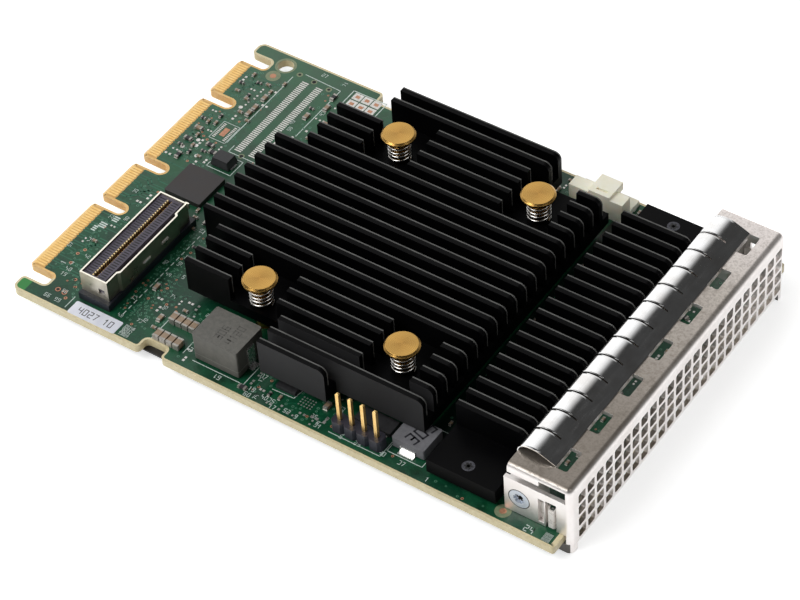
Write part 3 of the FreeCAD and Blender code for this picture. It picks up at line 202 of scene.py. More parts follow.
def grained(name, dark, light, size_mm, roughness, grain_mm=0.0, edge_mm=0.0, **constants):
    """Finish whose colour and gloss drift over size_mm, with an optional grain and soft edges."""
    graph = Graph(name, **constants)
    drift = graph.noise(size_mm, 3.0, 0.6)
    spread = graph.ramp(drift, 0.3, 0.7)
    normal = graph.soft_edges(edge_mm) if edge_mm else None
    if grain_mm:
        normal = graph.bump(graph.noise(size_mm * 0.3, 2.0), grain_mm, 0.6, normal)
    return graph.done(graph.mix(spread, dark, light), graph.ramp(drift, 0.3, 0.7, *roughness), normal)


# ---------------- finishes
HONEY_REACH = 7.4  # bare laminate is honey coloured round the contact tabs
FLAT = 0.95  # part of a face's normal along z from which it counts as flat
SQUARE_ON = 0.8  # part along y from which it counts as turned to the near or far side
contacts_low, contacts_high = span("edge_contacts_top")


def laminate_colour(graph):
    """Bare glass laminate: pale along the sides, honey coloured at the contact edge."""
    x, y, _ = graph.axes(graph.coordinates)
    weave = graph.ramp(graph.noise(0.7, 2.0, 0.5), 0.3, 0.7)
    pale = graph.mix(weave, (216, 202, 160), (228, 216, 178))
    honey = graph.mix(weave, (230, 184, 112), (240, 200, 132))
    at_tabs = graph.times(graph.below(x, x_at(HONEY_REACH)),
                          graph.above(y, y_at(contacts_low.y - 1.5)),
                          graph.below(y, y_at(contacts_high.y + 1.5)))
    return graph.mix(at_tabs, pale, honey)


CELLS_PER_METRE = 330.0  # of the copper areas seen through the solder mask


def board_finish():
    """Solder mask over copper on the two faces, bare laminate on the edges and between the contacts."""
    graph = Graph("solder_mask", IOR=1.42)
    x, y, _ = graph.axes(graph.coordinates)
    facing_z = graph.axes(graph.normal)[2]
    on_face = graph.above(graph.math("ABSOLUTE", facing_z), FLAT)

    # copper areas under the mask, with a fine stipple
    cells = graph.nodes.new("ShaderNodeTexVoronoi")
    cells.distance = "MANHATTAN"
    cells.inputs["Scale"].default_value = CELLS_PER_METRE
    graph.links.new(graph.coordinates, cells.inputs["Vector"])
    pour = graph.ramp(cells.outputs["Distance"], 0.42, 0.5)
    patches = graph.ramp(graph.noise(7.0, 3.0, 0.6), 0.4, 0.6)
    stipple = graph.ramp(graph.noise(0.35, 2.0, 0.6), 0.55, 0.68)
    mask = graph.mix(patches, (0, 44, 25), (3, 76, 44))
    mask = graph.mix(pour, mask, (22, 84, 60), 0.3)
    mask = graph.mix(stipple, mask, (40, 112, 74), 0.25)

    # painted reflection paler toward the far-left corner, painted highlight brighter at the near tongue's
    # tip, painted shade dark between the heat sinks
    far_corner_reflection = graph.ramp(graph.math("SUBTRACT", y, x), 0.035, 0.085, 0.0, 0.5)
    mask = graph.mix(far_corner_reflection, mask, (88, 124, 96))
    # painted highlight at the near tongue's tip
    lit_tongue_tip = graph.times(graph.below(x, x_at(3.4)), graph.below(y, y_at(3.4)))
    mask = graph.mix(lit_tongue_tip, mask, (56, 150, 66), 0.7)
    # painted shade: the mask is darkened between the heat sinks
    main_high = span("main_heat_sink")[1]
    front_low, front_high = span("front_heat_sink")
    shade_between_sinks = graph.times(graph.above(x, x_at(main_high.x - 1.0)),
                                graph.below(x, x_at(front_low.x + 1.0)),
                                graph.above(y, y_at(front_low.y + 3.0)),
                                graph.below(y, y_at(front_high.y - 1.0)))
    mask = graph.mix(shade_between_sinks, mask, (6, 14, 12), 0.85)

    # no mask on the tabs
    on_tabs = graph.times(graph.below(x, x_at(contacts_high.x + 0.25)),
                          graph.above(y, y_at(contacts_low.y - 0.9)),
                          graph.below(y, y_at(contacts_high.y + 0.9)))
    between_contacts = graph.mix(patches, (212, 162, 88), (222, 174, 102))
    bare = graph.mix(on_face, laminate_colour(graph), between_contacts)
    masked = graph.times(on_face, graph.math("SUBTRACT", 1.0, on_tabs))
    colour = graph.mix(masked, bare, mask)
    return graph.done(colour, graph.ramp(patches, 0.0, 1.0, 0.28, 0.4), graph.bump(pour, 0.02, 0.5))


def bare_laminate_finish():
    """Uncovered margin of the board, with a faint weave."""
    graph = Graph("bare_laminate", IOR=1.5)
    grain = graph.ramp(graph.noise(0.4, 2.0), 0.3, 0.7)
    roughness = graph.ramp(grain, 0.0, 1.0, 0.42, 0.58)
    return graph.done(laminate_colour(graph), roughness, graph.bump(grain, 0.01, 0.4))


FIN_PITCH = 3.08
FIN_HIGHLIGHT_WIDTH = 0.26  # width of the painted highlight line
SINK_BASE = 3.4  # from a heat sink's underside to just above its base plate


def far_fin_edge(node):
    """Far side of a heat sink's last fin, in metres, from the vertices near its top."""
    places = [vertex.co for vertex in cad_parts[node].data.vertices]
    top = max(place.z for place in places)
    return max(place.y for place in places if place.z > top - 0.2 * MM)


def fin_finish(name, node, lit_face_reach):
    """Black anodising, with a painted grey highlight line along the far edge of every fin.

    Faces toward the near side get painted light, a greyer colour, where they lie within the reach given in
    mm of the sink's near end.
    """
    graph = Graph(name, Specular_IOR_Level=0.06)
    _, y, z = graph.axes(graph.coordinates)
    facing_y = graph.axes(graph.normal)[1]
    sink_low = span(node)[0]
    # painted highlight: a grey line along each fin's far top edge, broken up by noise
    just_past_edge = far_fin_edge(node) + 0.5e-6
    step = graph.math("DIVIDE", graph.math("SUBTRACT", just_past_edge, y), FIN_PITCH * MM)
    line = graph.times(graph.below(graph.math("FRACT", step), FIN_HIGHLIGHT_WIDTH / FIN_PITCH),
                       graph.below(graph.math("ABSOLUTE", facing_y), 0.5),
                       graph.above(z, z_at(sink_low.z + SINK_BASE)))
    highlight_break = graph.ramp(graph.noise(1.5, 3.0, 0.6, (0.4, 1, 1)), 0.3, 0.7, 0.6, 1.0)
    drift = graph.ramp(graph.noise(12.0, 2.0), 0.35, 0.65)
    # painted light on faces turned to the near side, close to the sink's near end
    lit_near_face = graph.times(graph.below(facing_y, -SQUARE_ON),
                        graph.below(y, y_at(sink_low.y + lit_face_reach)))
    black = graph.mix(drift, (3, 3, 4), (7, 7, 8))
    black = graph.mix(lit_near_face, black, (52, 52, 53))
    colour = graph.mix(graph.times(line, highlight_break), black, (108, 108, 106))
    grain = graph.bump(graph.noise(0.25, 2.0), 0.01, 0.5)
    return graph.done(colour, graph.ramp(drift, 0.0, 1.0, 0.4, 0.5), grain)


def plate_finish():
    """Satin tin plating, speckled on the top plate; the top plate is painted darker and warmer as shade, the
    upright faces pale as painted reflection.
    """
    graph = Graph("plated_sheet", Metallic=0.8)
    _, y, z = graph.axes(graph.coordinates)
    _, facing_y, facing_z = graph.axes(graph.normal)
    low, high = span("faceplate")
    speckle = graph.ramp(graph.noise(0.4, 4.0, 0.7), 0.45, 0.62)
    cloud = graph.ramp(graph.noise(5.0, 3.0), 0.35, 0.65)
    smudge = graph.ramp(graph.noise(2.2, 5.0, 0.65), 0.5, 0.68)

    # painted shade darkens the top plate toward its near end, and a painted reflection makes it pale at its
    # far end
    top = graph.mix(speckle, (214, 206, 197), (146, 137, 128), 0.55)
    top = graph.mix(cloud, top, (226, 216, 210), 0.3)
    top = graph.mix(smudge, top, (128, 118, 108), 0.4)
    near_end_shade = graph.ramp(y, y_at(68), y_at(20), 0.0, 0.74)
    top = graph.mix(near_end_shade, top, (112, 103, 92))
    far_end_reflection = graph.ramp(y, y_at(54), y_at(70), 0.0, 0.8)
    top = graph.mix(far_end_reflection, top, graph.mix(speckle, (248, 240, 237), (226, 217, 212)))

    # the flanges' upper edges keep the upright faces' colour
    on_top_plate = graph.above(z, z_at(high.z - 1.3))
    inside = graph.times(graph.above(y, y_at(low.y + 1.8)), graph.below(y, y_at(high.y - 1.8)))
    level = graph.times(graph.ramp(facing_z, 0.5, 0.9), graph.math("MAXIMUM", on_top_plate, inside))
    # painted reflection: the upright faces are pale and the top plate darker, though they are one sheet
    upright = graph.mix(cloud, (236, 230, 227), (244, 240, 238))
    colour = graph.mix(level, upright, top)
    shaded_foot = graph.times(graph.below(z, z_at(BOARD_UNDERSIDE - 0.3)),
                              graph.below(facing_y, -SQUARE_ON))
    colour = graph.mix(shaded_foot, colour, (40, 38, 28), 0.9)
    roughness = graph.math("ADD", graph.ramp(speckle, 0.0, 1.0, 0.3, 0.42), graph.times(cloud, 0.06))
    return graph.done(colour, roughness, graph.bump(speckle, 0.006, 0.5, graph.soft_edges(0.12)))


STRIP_FINGER_PITCH = 4.8
STRIP_SLIT_ENDS = (107.4, 108.4)  # x over which the slits' rolled edges run out


def strip_finish():
    """Bright rolled sheet with faint lines along the roll and rolled edges at its slits."""
    graph = Graph("sprung_sheet", Metallic=1.0)
    x, y, _ = graph.axes(graph.coordinates)
    low, high = span("emi_finger_strip")
    first_slit = y_at((low.y + high.y) / 2 + STRIP_FINGER_PITCH / 2)
    step = graph.math("DIVIDE", graph.math("SUBTRACT", y, first_slit), STRIP_FINGER_PITCH * MM)
    share = graph.math("FRACT", graph.math("ADD", step, 20.5))
    from_slit = graph.math("ABSOLUTE", graph.math("SUBTRACT", share, 0.5))
    past_slits = graph.ramp(x, x_at(STRIP_SLIT_ENDS[0]), x_at(STRIP_SLIT_ENDS[1]))
    rolled_edge = graph.math("MAXIMUM", graph.ramp(from_slit, 0.02, 0.085), past_slits)
    rolled = graph.ramp(graph.noise(0.6, 4.0, 0.6, (1, 0.12, 1)), 0.3, 0.7)
    stains = graph.ramp(graph.noise(4.0, 3.0), 0.45, 0.7)
    colour = graph.mix(stains, (232, 232, 232), (196, 190, 184), 0.4)
    edges = graph.bump(rolled_edge, 0.13, 0.9)
    return graph.done(colour, graph.ramp(rolled, 0.0, 1.0, 0.1, 0.2), graph.bump(rolled, 0.006, 0.5, edges))


PIN_NUMBERS = range(1, 5)
TURNING_PITCH = 0.34  # of the lathe's rings


def turned_brass_finish():
    """Lathe-turned brass: fine rings on the head, highlights that fan out from the axis, and a painted dark
    reflection toward the axis.
    """
    graph = Graph("turned_brass", Metallic=1.0, Anisotropic=0.8)
    x, y, _ = graph.axes(graph.coordinates)
    tangent = graph.nodes.new("ShaderNodeTangent")
    tangent.direction_type = "RADIAL"
    tangent.axis = "Z"
    graph.links.new(tangent.outputs[0], graph.bsdf.inputs["Tangent"])
    from_axis = 1.0
    for number in PIN_NUMBERS:
        low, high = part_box("push_pin_%d" % number)
        dx = graph.math("SUBTRACT", x, (low.x + high.x) / 2)
        dy = graph.math("SUBTRACT", y, (low.y + high.y) / 2)
        square = graph.math("ADD", graph.times(dx, dx), graph.times(dy, dy))
        from_axis = graph.math("MINIMUM", graph.math("SQRT", square), from_axis)
    wave = graph.math("SINE", graph.times(from_axis, 2 * math.pi / (TURNING_PITCH * MM)))
    rings = graph.ramp(wave, -1.0, 1.0)
    colour = graph.mix(rings, (186, 145, 77), (198, 157, 88))
    # painted dark reflection toward each pin's axis
    dark_reflection_near_axis = graph.ramp(from_axis, 0.2 * MM, 2.4 * MM, 0.35, 0.0)
    colour = graph.mix(dark_reflection_near_axis, colour, (150, 104, 52))
    normal = graph.bump(rings, 0.004, 0.5, graph.soft_edges(0.12))
    return graph.done(colour, graph.ramp(rings, 0.0, 1.0, 0.24, 0.3), normal)


def gold_finish():
    """Warm plating whose gloss drifts a little."""
    graph = Graph("gold_plating", Metallic=0.9)
    drift = graph.ramp(graph.noise(0.8, 3.0), 0.3, 0.7)
    colour = graph.mix(drift, (234, 190, 114), (248, 214, 146))
    return graph.done(colour, graph.ramp(drift, 0.0, 1.0, 0.28, 0.4))


def shell_finish():
    """Drawn connector sheet: bright ends, a painted highlight on its champagne rim and a painted dark
    reflection on the wall toward the heat sink.
    """
    graph = Graph("connector_sheet", Metallic=0.9)
    facing_x, _, facing_z = graph.axes(graph.normal)
    drift = graph.ramp(graph.noise(2.5, 3.0), 0.3, 0.7)
    colour = graph.mix(drift, (204, 196, 176), (228, 222, 204))
    # painted dark reflection on the wall toward the heat sink
    shaded_toward_sink = graph.above(facing_x, 0.7)
    colour = graph.mix(shaded_toward_sink, colour, (84, 86, 74), 0.62)
    # painted highlight on the up-facing rim
    lit_rim = graph.above(facing_z, 0.6)
    colour = graph.mix(lit_rim, colour, (252, 247, 232))
    return graph.done(colour, graph.ramp(drift, 0.0, 1.0, 0.26, 0.36))


PARTING_HEIGHT = 1.55  # of the line round the large inductor's core


def ferrite_finish():
    """Pressed iron powder with a pale parting line, and painted shade on the side toward the heat sink."""
    graph = Graph("pressed_ferrite")
    z = graph.axes(graph.coordinates)[2]
    facing_x = graph.axes(graph.normal)[0]
    drift = graph.ramp(graph.noise(0.8, 3.0, 0.6), 0.3, 0.7)
    colour = graph.mix(drift, (86, 85, 80), (104, 102, 96))
    # painted shade on the side turned toward the heat sink
    shaded_toward_sink = graph.above(facing_x, 0.7)
    colour = graph.mix(shaded_toward_sink, colour, (44, 42, 38), 0.7)
    from_line = graph.math("ABSOLUTE", graph.math("SUBTRACT", z, z_at(PARTING_HEIGHT)))
    on_line = graph.below(from_line, 0.05 * MM)
    colour = graph.mix(on_line, colour, (150, 148, 142), 0.6)
    normal = graph.bump(graph.noise(0.25, 2.0), 0.012, 0.6, graph.soft_edges(0.1))
    return graph.done(colour, graph.ramp(drift, 0.0, 1.0, 0.5, 0.62), normal)


HOUSING_SHADE_HEIGHT = 2.4  # height up to which the cable connector's moulding is painted nearly black as shade


def connector_finish():
    """Violet-grey moulding, painted nearly black as shade down at its foot."""
    graph = Graph("connector_moulding", IOR=1.45)
    z = graph.axes(graph.coordinates)[2]
    drift = graph.ramp(graph.noise(1.5, 3.0), 0.3, 0.7)
    upper = graph.mix(drift, (74, 69, 82), (90, 84, 98))
    # painted shade at the moulding's foot
    foot = graph.mix(drift, (20, 23, 32), (32, 36, 46))
    colour = graph.mix(graph.above(z, z_at(HOUSING_SHADE_HEIGHT)), foot, upper)
    return graph.done(colour, graph.ramp(drift, 0.0, 1.0, 0.4, 0.52))


FINISHES = {
    "board": board_finish(),
    "bare": bare_laminate_finish(),
    "main_fins": fin_finish("main_sink_anodising", "main_heat_sink", 7.0),
    "front_fins": fin_finish("front_sink_anodising", "front_heat_sink", 0.0),
    "plate": plate_finish(),
    "strip": strip_finish(),
    "brass": turned_brass_finish(),
    "gold": gold_finish(),
    "shell": shell_finish(),
    "shell_plastic": connector_finish(),
    "ferrite": ferrite_finish(),
    # metals
    "spring": grained("spring_wire", (190, 186, 180), (226, 224, 220), 1.0, (0.14, 0.24), Metallic=1.0),
    "screw": grained("zinc_screw", (206, 214, 226), (226, 232, 240), 1.5, (0.3, 0.42), Metallic=0.35),
    "dark_screw": grained("dark_screw", (52, 52, 56), (88, 88, 94), 0.3, (0.15, 0.3), 0.01, 0.05,
                          Metallic=1.0),
    "bright_edge": grained("bright_edge", (238, 232, 226), (250, 246, 242), 0.8, (0.25, 0.35),
                           Metallic=0.15),
    "tips": grained("contact_tips", (244, 212, 146), (254, 232, 180), 0.4, (0.3, 0.4), Metallic=0.3),
    "tin": grained("tinned_metal", (200, 200, 198), (232, 232, 230), 0.7, (0.2, 0.36), 0.006, 0.05,
                   Metallic=0.9),
    "dull_tin": grained("dull_solder", (150, 146, 140), (184, 180, 172), 0.5, (0.3, 0.45), 0.006, 0.03,
                        Metallic=0.5),
    "solder": grained("solder_pads", (190, 186, 180), (226, 224, 220), 0.5, (0.25, 0.4), 0.006,
                      Metallic=0.7),
    "copper": grained("bare_copper", (176, 120, 92), (206, 152, 120), 0.6, (0.35, 0.5), Metallic=0.4),
    # mouldings and other solids
    "flat_ferrite": grained("flat_ferrite", (108, 108, 112), (124, 124, 128), 1.0, (0.5, 0.62), 0.01, 0.12),
    "ceramic": grained("capacitor_ceramic", (142, 120, 98), (162, 140, 116), 0.8, (0.35, 0.5), 0.004, 0.05),
    "header": grained("header_moulding", (36, 35, 46), (50, 49, 62), 1.2, (0.32, 0.45), 0.005, 0.08),
    "cream": grained("cream_moulding", (250, 244, 218), (254, 250, 232), 2.0, (0.4, 0.52), 0.005, 0.1,
                     Subsurface_Weight=0.1),
    "mould": grained("chip_moulding", (38, 38, 40), (50, 50, 52), 0.6, (0.5, 0.62), 0.006, 0.05),
    "flash": grained("flat_chip_moulding", (38, 35, 36), (50, 44, 42), 3.0, (0.42, 0.55), 0.006, 0.05),
    "pad": grained("thermal_filler", (120, 124, 132), (140, 144, 150), 1.0, (0.6, 0.8), 0.02),
    "film": grained("insulator_film", (10, 10, 11), (18, 18, 20), 6.0, (0.3, 0.45), 0.004),
    "paper": grained("label_paper", (222, 224, 236), (236, 238, 246), 2.0, (0.5, 0.62), 0.004),
    # print and what shows through the solder mask
    "ink": grained("label_ink", (30, 30, 36), (44, 44, 50), 0.5, (0.5, 0.6)),
    "faint": grained("faint_marking", (74, 72, 68), (84, 82, 78), 0.6, (0.5, 0.6)),
    "silk": grained("silkscreen", (186, 204, 196), (222, 232, 226), 0.5, (0.5, 0.65)),
    "trace": grained("covered_trace", (14, 86, 60), (26, 104, 74), 2.0, (0.3, 0.42)),
    "via": grained("covered_via", (58, 118, 90), (88, 140, 112), 0.6, (0.3, 0.45)),
    "ring": grained("mask_opening", (116, 128, 96), (138, 148, 116), 0.8, (0.45, 0.6)),
    # painted shade: near-black for holes, openings and recesses
    "recess_shade": grained("painted_recess_shade", (8, 8, 9), (14, 13, 14), 0.8, (0.5, 0.7)),
}

# finish: the CAD nodes that have it
NODE_FINISHES = {
    "board": "circuit_board",
    "gold": "edge_contacts_top edge_contacts_bottom cable_connector_contacts pin_header_pins",
    "film": "insulator_sheet",
    "plate": "faceplate bracket_block_near bracket_block_far",
    "strip": "emi_finger_strip",
    "bright_edge": "side_spring_clip_near side_spring_clip_far",
    "screw": "bracket_screw_near bracket_screw_far front_sink_posts",
    "dark_screw": "front_sink_screw_1 front_sink_screw_2",
    "main_fins": "main_heat_sink",
    "front_fins": "front_heat_sink",
    "brass": "push_pin_1 push_pin_2 push_pin_3 push_pin_4",
    "spring": "pin_spring_1 pin_spring_2 pin_spring_3 pin_spring_4",
    "mould": "controller_chip memory_chips power_stage_chips regulator_chip small_diode",
    "flash": "flash_chip",
    "pad": "controller_thermal_pad memory_thermal_pads front_thermal_pads",
    "shell_plastic": "cable_connector_housing",
    "shell": "cable_connector_shell",
    "ferrite": "large_inductor_core",
    "flat_ferrite": "flat_inductor_core",
    "tin": "large_inductor_terminals flat_inductor_terminals power_connector_pins diode_leads",
    "dull_tin": "capacitor_ends",
    "ceramic": "capacitor_bodies",
    "header": "pin_header_base",
    "cream": "power_connector_housing",
    "paper": "port_label",
}

for finish, names in NODE_FINISHES.items():
    for node_name in names.split():
        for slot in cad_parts[node_name].material_slots:
            slot.material = FINISHES[finish]


# ---------------- added shapes
SQUARE = ((-1, -1), (1, -1), (1, 1), (-1, 1))
BOX_FACES = ((3, 2, 1, 0), (4, 5, 6, 7), (0, 1, 5, 4), (1, 2, 6, 5), (2, 3, 7, 6), (3, 0, 4, 7))
PRINT_Z = 0.03  # height of a ribbon over the board where no other is given


def circle(radius, sides):
    """Corners of a regular polygon round the origin."""
    turns = [2 * math.pi * i / sides for i in range(sides)]
    return [(radius * math.cos(turn), radius * math.sin(turn)) for turn in turns]


def band(count):
    """Faces between a loop of count points and the loop that follows it."""
    return [(i, (i + 1) % count, count + (i + 1) % count, count + i) for i in range(count)]


class Shapes:
    """Gathers small shapes, given in board millimetres, into one piece."""

    def __init__(self):
        self.vertices = []
        self.faces = []

    def add(self, points, faces):
        first = len(self.vertices)
        self.vertices += [at(*point) for point in points]
        self.faces += [[first + i for i in face] for face in faces]

    def box(self, x, y, z_low, length, width, height, turn=0.0):
        """Upright box centred at x, y and turned by an angle in degrees."""
        rotate = Matrix.Rotation(math.radians(turn), 2)
        points = []
        for z in (z_low, z_low + height):
            for u, v in SQUARE:
                offset = rotate @ Vector((u * length / 2, v * width / 2))
                points.append((x + offset.x, y + offset.y, z))
        self.add(points, BOX_FACES)

    def line(self, points, width, z=PRINT_Z):
        """Flat ribbon along x, y points."""
        for (x0, y0), (x1, y1) in zip(points, points[1:]):
            along = Vector((x1 - x0, y1 - y0))
            side = Vector((-along.y, along.x)).normalized() * width / 2
            end = along.normalized() * width * 0.35
            corners = []
            for x, y, u, v in ((x0, y0, -1, -1), (x1, y1, 1, -1), (x1, y1, 1, 1), (x0, y0, -1, 1)):
                corners.append((x + u * end.x + v * side.x, y + u * end.y + v * side.y, z))
            self.add(corners, [range(4)])

    def frame(self, x0, y0, x1, y1, width):
        """Outline of a rectangle."""
        self.line([(x0, y0), (x1, y0), (x1, y1), (x0, y1), (x0, y0)], width)

    def disc(self, x, y, radius, z, sides=20):
        self.add([(x + u, y + v, z) for u, v in circle(radius, sides)], [range(sides)])

    def ring(self, x, y, inner, outer, z, sides=20):
        points = [(x + u, y + v, z) for radius in (outer, inner) for u, v in circle(radius, sides)]
        self.add(points, band(sides))

    def build(self, name, finish, slot):
        mesh = bpy.data.meshes.new(name)
        mesh.from_pydata(self.vertices, [], self.faces)
        mesh.materials.append(FINISHES[finish])
        piece = new_object(name, mesh)
        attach(piece, ROOT)


STROKES = {
    "0": ((0, 0), (1, 0), (1, 2), (0, 2), (0, 0)),
    "1": ((0.2, 1.6), (0.6, 2), (0.6, 0)),
    "2": ((0, 2), (1, 2), (1, 1), (0, 1), (0, 0), (1, 0)),
    "3": ((0, 2), (1, 2), (1, 1), (0.3, 1), (1, 1), (1, 0), (0, 0)),
    "4": ((0, 2), (0, 1), (1, 1), (1, 2), (1, 0)),
    "5": ((1, 2), (0, 2), (0, 1), (1, 1), (1, 0), (0, 0)),
    "6": ((1, 2), (0, 2), (0, 0), (1, 0), (1, 1), (0, 1)),
    "7": ((0, 2), (1, 2), (0.4, 0)),
    "8": ((0, 0), (1, 0), (1, 2), (0, 2), (0, 0), (0, 1), (1, 1)),
    "9": ((1, 0), (1, 2), (0, 2), (0, 1), (1, 1)),
}
DIGIT_ADVANCE = 1.7  # in halves of a digit's height


def write(shapes, digits, x, y, height, turn=0.0, z=PRINT_Z, weight=0.14):
    """Draws a number with its first digit's foot at x, y; turn is its reading direction in degrees."""
    unit = height / 2
    rotate = Matrix.Rotation(math.radians(turn), 2)
    for place, digit in enumerate(digits):
        points = []
        for u, v in STROKES[digit]:
            point = rotate @ Vector(((u + place * DIGIT_ADVANCE) * unit, v * unit))
            points.append((x + point.x, y + point.y))
        shapes.line(points, height * weight, z)


# ---------------- springs on the push pins
SPRING_TURNS = 4.5
STEPS_PER_TURN = 28
WIRE_RADIUS = 0.24


def coil_spring(number):
    """Wound wire in place of a push pin's spring, its turns a little closer halfway up."""
    node = "pin_spring_%d" % number
    low, high = span(node)
    pin_low, pin_high = span("push_pin_%d" % number)
    centre = (pin_low + pin_high) / 2
    radius = (high.x - low.x) / 2 - WIRE_RADIUS
    bottom = low.z + WIRE_RADIUS
    rise = high.z - WIRE_RADIUS - bottom
    steps = int(SPRING_TURNS * STEPS_PER_TURN)
    curve = bpy.data.curves.new("coil_spring_%d" % number, "CURVE")
    curve.dimensions = "3D"
    curve.bevel_depth = WIRE_RADIUS * MM
    curve.bevel_resolution = 3
    curve.use_fill_caps = True
    line = curve.splines.new("NURBS")
    line.points.add(steps)
    line.order_u = 3
    line.use_endpoint_u = True
    for i, point in enumerate(line.points):
        turn = 2 * math.pi * i / STEPS_PER_TURN
        share = i / steps
        z = bottom + rise * (share + 0.035 * math.sin(2 * math.pi * share))
        place = at(centre.x + radius * math.cos(turn), centre.y + radius * math.sin(turn), z)
        point.co = (*place, 1.0)
    curve.materials.append(FINISHES["spring"])
    piece = new_object(curve.name, curve)
    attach(piece, ROOT)
    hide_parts(node)


for pin_number in PIN_NUMBERS:
    coil_spring(pin_number)


# ---------------- print, pads and small parts on the board
LAYERS = {
    # name: (finish, slot)
    "bare_margin": ("bare", "board_laminate"),
    "covered_traces": ("trace", "board_laminate"),
    "covered_vias": ("via", "board_laminate"),
    "mask_openings": ("ring", "board_laminate"),
    "printed_marks": ("silk", "board_laminate"),
    "solder_pads": ("solder", "tinned_copper"),
    "copper_spots": ("copper", "tinned_copper"),
    "via_hollows": ("recess_shade", "board_laminate"),
    "part_ends": ("dull_tin", "tinned_copper"),
    "ceramic_parts": ("ceramic", "capacitor_ceramic"),
    "dark_parts": ("mould", "chip_mould"),
}
layers = {name: Shapes() for name in LAYERS}
silk = layers["printed_marks"]
pads = layers["solder_pads"]
copper = layers["copper_spots"]
traces = layers["covered_traces"]
vias = layers["covered_vias"]
openings = layers["mask_openings"]
hollows = layers["via_hollows"]

# heights of the flat layers over the board's top face, and widths of its bare margin
TRACE_Z = 0.008
RING_Z = 0.012
SILK_Z = 0.016
PAD_Z = 0.02
MARGIN_WIDTH = 0.45
FRONT_MARGIN_WIDTH = 0.85


def top_outline():
    """Outer corners of the board's top face in order, counter-clockwise, in board millimetres."""
    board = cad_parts["circuit_board"]
    mesh = board.data
    places = [(board.matrix_world @ vertex.co - BOARD_ORIGIN) / MM for vertex in mesh.vertices]
    sides = set()
    for polygon in mesh.polygons:
        corners = [places[i] for i in polygon.vertices]
        if polygon.normal.z > 0.9 and min(corner.z for corner in corners) > -0.01:
            keys = [(round(corner.x, 3), round(corner.y, 3)) for corner in corners]
            sides.update(zip(keys, keys[1:] + keys[:1]))
    following = {start: end for start, end in sides if (end, start) not in sides}
    start = min(following)
    loop = [start]
    while following[loop[-1]] != start:
        loop.append(following[loop[-1]])
    return [Vector(corner) for corner in loop]


def bare_margin(shapes):
    """Strip of uncovered laminate that follows the board's outline."""
    outline = top_outline()
    inner = []
    for before, corner, after in zip(outline[-1:] + outline[:-1], outline, outline[1:] + outline[:1]):
        arriving = (corner - before).normalized()
        leaving = (after - corner).normalized()
        inward = Vector((-arriving.y, arriving.x)) + Vector((-leaving.y, leaving.x))
        width = FRONT_MARGIN_WIDTH if corner.x > BOARD_LENGTH - 0.3 else MARGIN_WIDTH
        inner.append(corner + inward * width / (1 + arriving.dot(leaving)))
    points = [(point.x, point.y, TRACE_Z) for point in outline + inner]
    shapes.add(points, band(len(outline)))


def via(x, y, radius, bare):
    """Plated hole: a disc of bare or covered copper with a dark centre of painted shade."""
    plating = copper if bare else vias
    plating.disc(x, y, radius, RING_Z, 12)
    hollows.disc(x, y, radius * 0.45, SILK_Z, 10)


def small_part(x, y, length, width, height, turn, kind="ceramic_parts"):
    """Two-ended chip part on its pads."""
    along = heading(turn)
    cap = length * 0.24
    layers[kind].box(x, y, 0.0, length - 2 * cap, width * 0.96, height * 0.94, turn)
    for side in (-1, 1):
        end = along * side * (length - cap) / 2
        layers["part_ends"].box(x + end.x, y + end.y, 0.0, cap, width, height, turn)
        pads.box(x + end.x * 1.12, y + end.y * 1.12, 0.0, cap * 1.2, width * 1.05, 0.05, turn)


def footprint(x, y, turn, gap, size):
    """Pair of empty pads, gap apart."""
    along = heading(turn) * gap / 2
    for side in (-1, 1):
        pads.box(x + along.x * side, y + along.y * side, 0.0, size, size, 0.03, turn)


def pad_row(x, y, count, pitch, turn, length, width):
    """Row of pads from x, y along a direction; length lies across the row."""
    along = heading(turn) * pitch
    for i in range(count):
        pads.box(x + along.x * i, y + along.y * i, 0.0, width, length, 0.03, turn)


def fiducial(x, y):
    """Alignment mark: a copper dot in a wide opening of the mask."""
    openings.disc(x, y, 1.45, RING_Z, 28)
    copper.disc(x, y, 0.62, SILK_Z)


bare_margin(layers["bare_margin"])

# traces that run back from the contacts, two places of every three, in bundles that bend by one step
CONTACT_PITCH = 0.6
BUNDLE_SIZE = 7
BUNDLE_STEPS = (0.9, 1.5, -0.8, 0.0)
KEY_SLOT_PLACES = (25.7, 38.0, 58.7)
rng = random.Random(11)
y = contacts_low.y + 0.2
contact = 0
while y < contacts_high.y:
    bend = 4.2 + (contact % BUNDLE_SIZE) * 0.35
    step = BUNDLE_STEPS[contact // BUNDLE_SIZE % len(BUNDLE_STEPS)]
    reach = rng.uniform(7.0, 12.5)
    over_slot = any(abs(y - slot) < 1.9 for slot in KEY_SLOT_PLACES)
    if contact % 3 != 2 and not over_slot:
        traces.line([(3.0, y), (bend, y), (bend + abs(step), y + step), (reach, y + step)], 0.24, TRACE_Z)
    y += CONTACT_PITCH
    contact += 1

